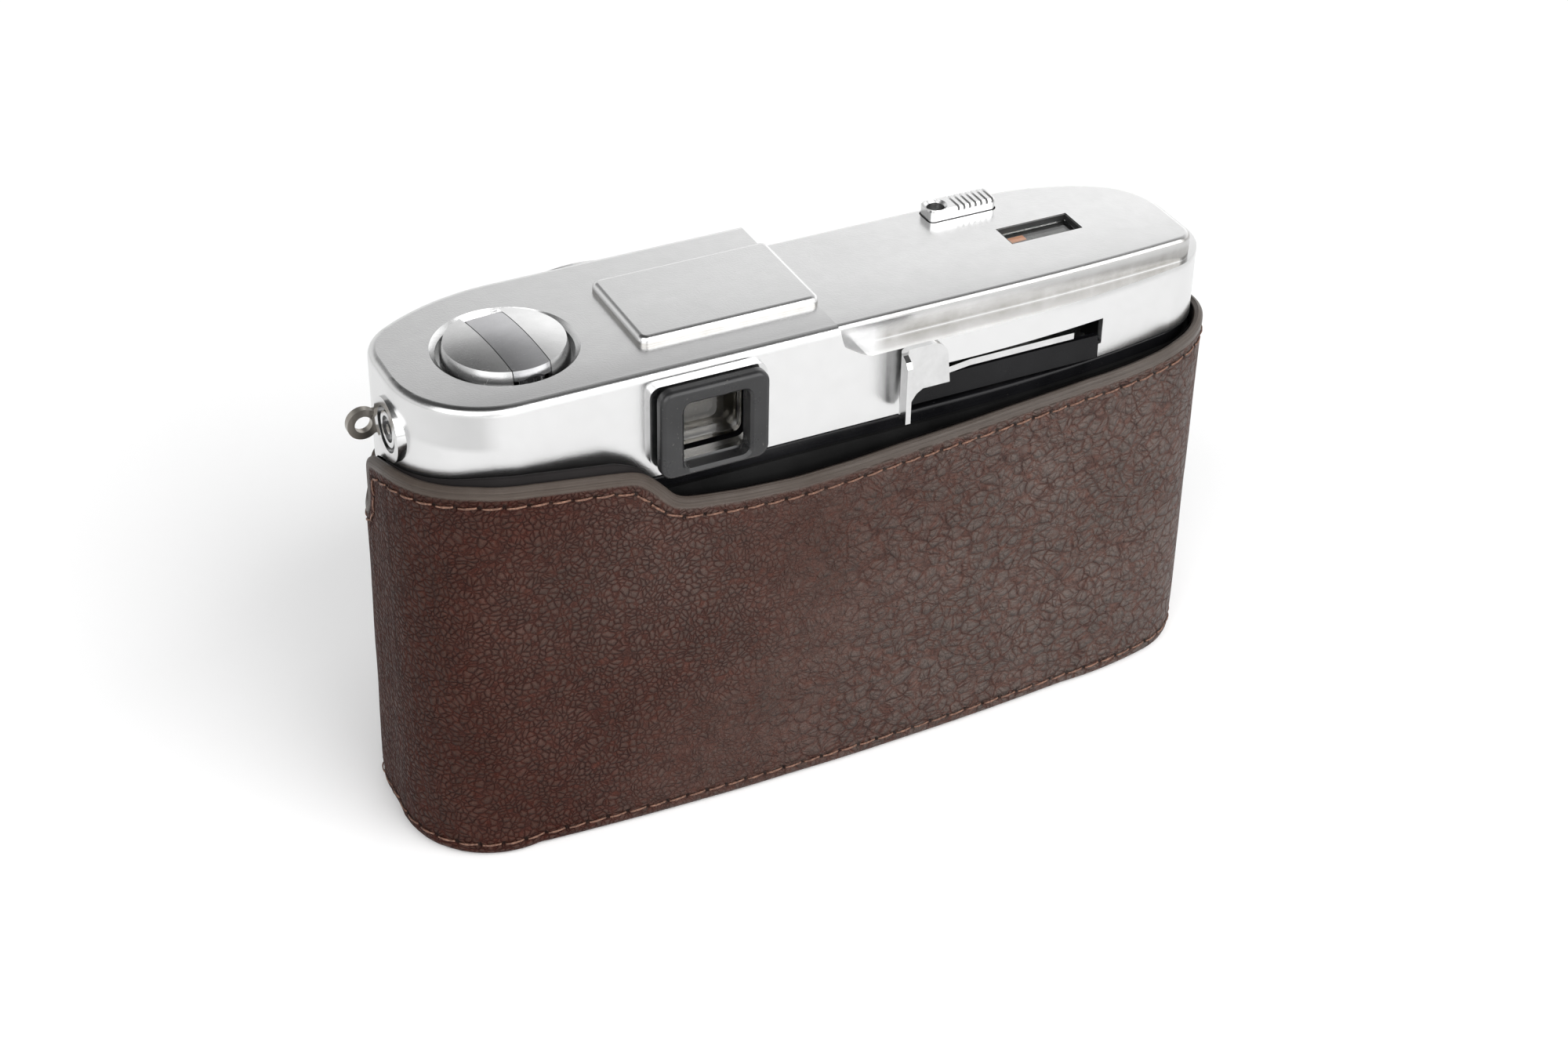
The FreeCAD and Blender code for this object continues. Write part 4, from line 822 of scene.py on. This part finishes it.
# stitches: short threads that dive into the holes at both ends
def stitches(name, pts):
    V, Fc = [], []
    nseg, nrad = 8, 8
    for (s0, z0), (s1, z1) in pts:
        t = np.linspace(0.10, 0.90, nseg + 1)
        ss_ = s0 + (s1 - s0) * t; zz_ = z0 + (z1 - z0) * t
        # a slight slant, as a hand-sewn seam has
        dl_ = math.hypot(s1 - s0, z1 - z0)
        nn = (-(z1 - z0) / dl_, (s1 - s0) / dl_)
        sl = 0.12 * (t - 0.5) * 2
        ss_ = ss_ + nn[0] * sl; zz_ = zz_ + nn[1] * sl
        x, y, nx, ny = CASE.at(ss_)
        lift = -0.26 + 0.34 * np.sin(np.pi * np.clip((t - 0.02) / 0.96, 0, 1)) ** 0.45
        fl_, le_ = give(x, nx, ny, zz_)
        lift = lift + fl_ + 1.25 * le_
        C = np.stack([x + nx * lift, y + ny * lift, zz_ + 0.75 * le_], 1)
        Tn = np.gradient(C, axis=0); Tn /= np.linalg.norm(Tn, axis=1)[:, None]
        N = np.stack([nx, ny, 0 * nx], 1)
        B = np.cross(Tn, N); B /= np.linalg.norm(B, axis=1)[:, None]
        N = np.cross(B, Tn)
        rad = 0.15 * (0.75 + 0.25 * np.sin(np.pi * t))
        b0 = len(V)
        for i in range(nseg + 1):
            for q in range(nrad):
                a = 2 * math.pi * q / nrad
                rr = rad[i] * (1 + 0.13 * math.cos(2 * a + i * 1.4))
                V.append(C[i] + rr * (math.cos(a) * B[i] * 1.15 + math.sin(a) * N[i] * 0.8))
        for i in range(nseg):
            for q in range(nrad):
                q2 = (q + 1) % nrad
                Fc.append((b0 + i * nrad + q, b0 + i * nrad + q2, b0 + (i + 1) * nrad + q2, b0 + (i + 1) * nrad + q))
        for i, sgn in ((0, 1), (nseg, -1)):
            c = len(V)
            V.append(C[i])
            for q in range(nrad):
                q2 = (q + 1) % nrad
                f = (c, b0 + i * nrad + q2, b0 + i * nrad + q, c)
                Fc.append(f if sgn > 0 else (f[0], f[2], f[1], f[0]))
    quads = np.array([f for f in Fc if f[0] != f[3]], int)
    me = bpy.data.meshes.new(name)
    me.from_pydata([tuple(v * MM) for v in V], [], [f if f[0] != f[3] else f[:3] for f in Fc])
    me.materials.append(M_THREAD.m)
    me.polygons.foreach_set("use_smooth", np.ones(len(me.polygons), bool))
    me.update()
    ob = bpy.data.objects.new(name, me)
    SC.collection.objects.link(ob)
    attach(ob, "case")
    return ob


pairs = []
for i in range(len(hs)):
    a = (hs[i], hz[i]); b = (hs[(i + 1) % len(hs)] + (S if i == len(hs) - 1 else 0), hz[(i + 1) % len(hs)])
    if math.hypot(b[0] - a[0], b[1] - a[1]) < PITCH * 1.4:
        pairs.append((a, b))
stitches("rim_stitching", pairs)
stitches("bottom_stitching", [((bs_[i], ZBOT), (bs_[i] + S / nb, ZBOT)) for i in range(nb)])

# frame-counter window: black liner and an orange mark under the glass
def boxes(name, lst, mt, body="camera"):
    V, Fc = [], []
    for x0, y0, z0, x1, y1, z1 in lst:
        b = len(V)
        V += [(x, y, z) for z in (z0, z1) for x, y in ((x0, y0), (x1, y0), (x1, y1), (x0, y1))]
        Fc += [(b + 3, b + 2, b + 1, b), (b + 4, b + 5, b + 6, b + 7), (b, b + 1, b + 5, b + 4), (b + 1, b + 2, b + 6, b + 5), (b + 2, b + 3, b + 7, b + 6), (b + 3, b, b + 4, b + 7)]
    ob = mesh_from(name, V, np.array(Fc), [mt], None, False)
    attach(ob, body)
    return ob


WX0, WX1, WY0, WY1, ZT = -44.2, -32.3, -2.4, 2.5, 72.2
boxes("window_liner", [(WX0, WY0, ZT - 1.0, WX0 + 0.22, WY1, ZT - 0.12), (WX1 - 0.22, WY0, ZT - 1.0, WX1, WY1, ZT - 0.12),
                       (WX0, WY0, ZT - 1.0, WX1, WY0 + 0.22, ZT - 0.12), (WX0, WY1 - 0.22, ZT - 1.0, WX1, WY1, ZT - 0.12)], M_EPOXY)
boxes("window_mark", [(-36.4, -1.5, ZT - 2.0, -33.0, -0.2, ZT - 1.85)], M_ORANGE)

# ------------------------------------------------------------------ materials on the carried-over nodes
LOOK = {
    "top_cover": M_COVER, "bottom_cover": M_SATIN, "base_screws": M_STEEL, "tripod_socket": M_STEEL, "rewind_release_button": M_STEEL,
    "back_cover": M_BLACK, "back_leatherette": M_GREYLEATH, "front_leatherette": M_LEATHERETTE, "chassis": M_SOFTBLACK, "pressure_plate": M_SOFTBLACK,
    "lever_slot_shield": M_BLACK, "counter_window": M_WINDOW, "counter_pointer": M_EPOXY, "frame_counter_disc": M_DIAL, "frame_counter_post": M_BRASS,
    "rewind_bearing": M_BRASS, "rewind_sleeve": M_STEEL, "rewind_shaft": M_STEEL, "rewind_knob": M_KNOB, "rewind_crank": M_STRIP, "crank_pin": M_STEEL, "crank_roller": M_STEEL,
    "wind_lever": M_BRIGHT, "wind_shaft": M_STEEL, "take_up_spool": M_ALU, "film_sprocket": M_ALU, "release_button": M_SATIN, "release_spring": M_STEEL, "release_guide": M_STEEL,
    "eyepiece_rail_plate": M_BRIGHT, "eyepiece_frame": M_BEZEL, "eyepiece_lens": M_EYEGLASS, "eyepiece_prism": M_EYEPRISM, "finder_upper_prism": M_GLASS, "finder_relay_lens": M_GLASS,
    "finder_lower_prism": M_GLASS, "focusing_screen": M_GROUND, "reflex_mirror": M_MIRROR, "shutter_disc": M_TI, "shutter_spindle": M_STEEL,
    "lens_mount_ring": M_BRIGHT, "mount_screws": M_STEEL, "lens_barrel": M_SOFTBLACK, "aperture_ring": M_SATIN, "focus_ring": M_SOFTBLACK, "filter_ring": M_BRIGHT,
    "lens_name_ring": M_SOFTBLACK, "front_glass": M_COATED, "rear_glass": M_COATED, "iris_blades": M_SOFTBLACK, "lens_release_button": M_BRIGHT, "lens_release_collar": M_STEEL,
    "speed_dial": M_SATIN, "speed_dial_base": M_SATIN, "sync_socket": M_BRIGHT, "strap_lugs": M_LUG, "case_screw": M_BRASS, "case_screw_eyelet": M_BRASS,
    "leather_case": M_LEATHER,
}
for name, ob in NODES.items():
    mt = LOOK.get(name, M_SATIN)
    if not ob.data.materials:
        ob.data.materials.append(mt.m)
    for i in range(len(ob.data.materials)):
        ob.data.materials[i] = mt.m

# ------------------------------------------------------------------ floor and lights
def floor_material():
    m = Mat("pale_floor", base=(0.93, 0.93, 0.93), rough=0.6, spec=0.2)
    m.link(m.mix(m.noise(3.0, 2.0).outputs["Fac"], (0.925, 0.925, 0.925), (0.935, 0.935, 0.935)), "Base Color")
    return m


fm = floor_material()
bpy.ops.mesh.primitive_grid_add(x_subdivisions=4, y_subdivisions=4, size=6.0, location=(0, 0, -0.0002))
floor = bpy.context.object
floor.name = "studio_floor"
floor.data.materials.append(fm.m)
floor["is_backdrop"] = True

SKY = (1.00, 0.98, 0.55, 0.14)
LOBES = [((-0.86, -0.42, 0.36), 0.96, 0.60, 0.75)]
world = bpy.data.worlds.new("studio")
SC.world = world
world.use_nodes = True
wn = world.node_tree
bg = wn.nodes["Background"]
bg.inputs["Color"].default_value = (1, 1, 1, 1)
tc_ = wn.nodes.new("ShaderNodeTexCoord")
sep_ = wn.nodes.new("ShaderNodeSeparateXYZ")
wn.links.new(tc_.outputs["Generated"], sep_.inputs[0])


def wramp(fac, stops, ease=False):
    n = wn.nodes.new("ShaderNodeValToRGB")
    e = n.color_ramp.elements
    while len(e) < len(stops):
        e.new(0.5)
    for el, (q, c) in zip(e, stops):
        el.position = q; el.color = (c, c, c, 1)
    if ease:
        n.color_ramp.interpolation = "EASE"
    wn.links.new(fac, n.inputs["Fac"])
    return n.outputs["Color"]


def wmath(op, a, b):
    n = wn.nodes.new("ShaderNodeMath"); n.operation = op
    for i, v in enumerate((a, b)):
        if isinstance(v, bpy.types.NodeSocket):
            wn.links.new(v, n.inputs[i])
        else:
            n.inputs[i].default_value = v
    return n.outputs[0]


def lobe(direction, inner, outer, amp):
    """Soft round glow of the surroundings about a direction; inner and outer are cosines."""
    d = Vector(direction).normalized()
    n = wn.nodes.new("ShaderNodeVectorMath"); n.operation = "DOT_PRODUCT"
    wn.links.new(tc_.outputs["Generated"], n.inputs[0]); n.inputs[1].default_value = d
    return wmath("MULTIPLY", wramp(n.outputs["Value"], [(outer, 0.0), (inner, 1.0)], True), amp)


sky = wramp(sep_.outputs["Z"], [(0.0, SKY[0]), (0.43, SKY[1]), (0.52, SKY[2]), (0.62, SKY[3]), (1.0, 0.03)])
for d_, i_, o_, a_ in LOBES:
    sky = wmath("ADD", sky, lobe(d_, i_, o_, a_))
wn.links.new(sky, bg.inputs["Strength"])


def area(name, loc, target, size, power, size_y=None, color=(1, 1, 1)):
    l = bpy.data.lights.new(name, "AREA")
    l.shape = "RECTANGLE"
    l.size = size; l.size_y = size_y or size
    l.energy = power
    l.color = color
    o = bpy.data.objects.new(name, l)
    SC.collection.objects.link(o)
    o.location = loc
    d = Vector(target) - Vector(loc)
    o.rotation_euler = d.to_track_quat("-Z", "Y").to_euler()
    return o


area("key_left", (1.15, 1.10, 1.15), (0, 0, 0.03), 1.9, 33.0)
area("fill_back", (-0.75, 1.50, 1.15), (0, 0, 0.03), 2.0, 46.0)

SC.view_settings.view_transform = "Standard"

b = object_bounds()
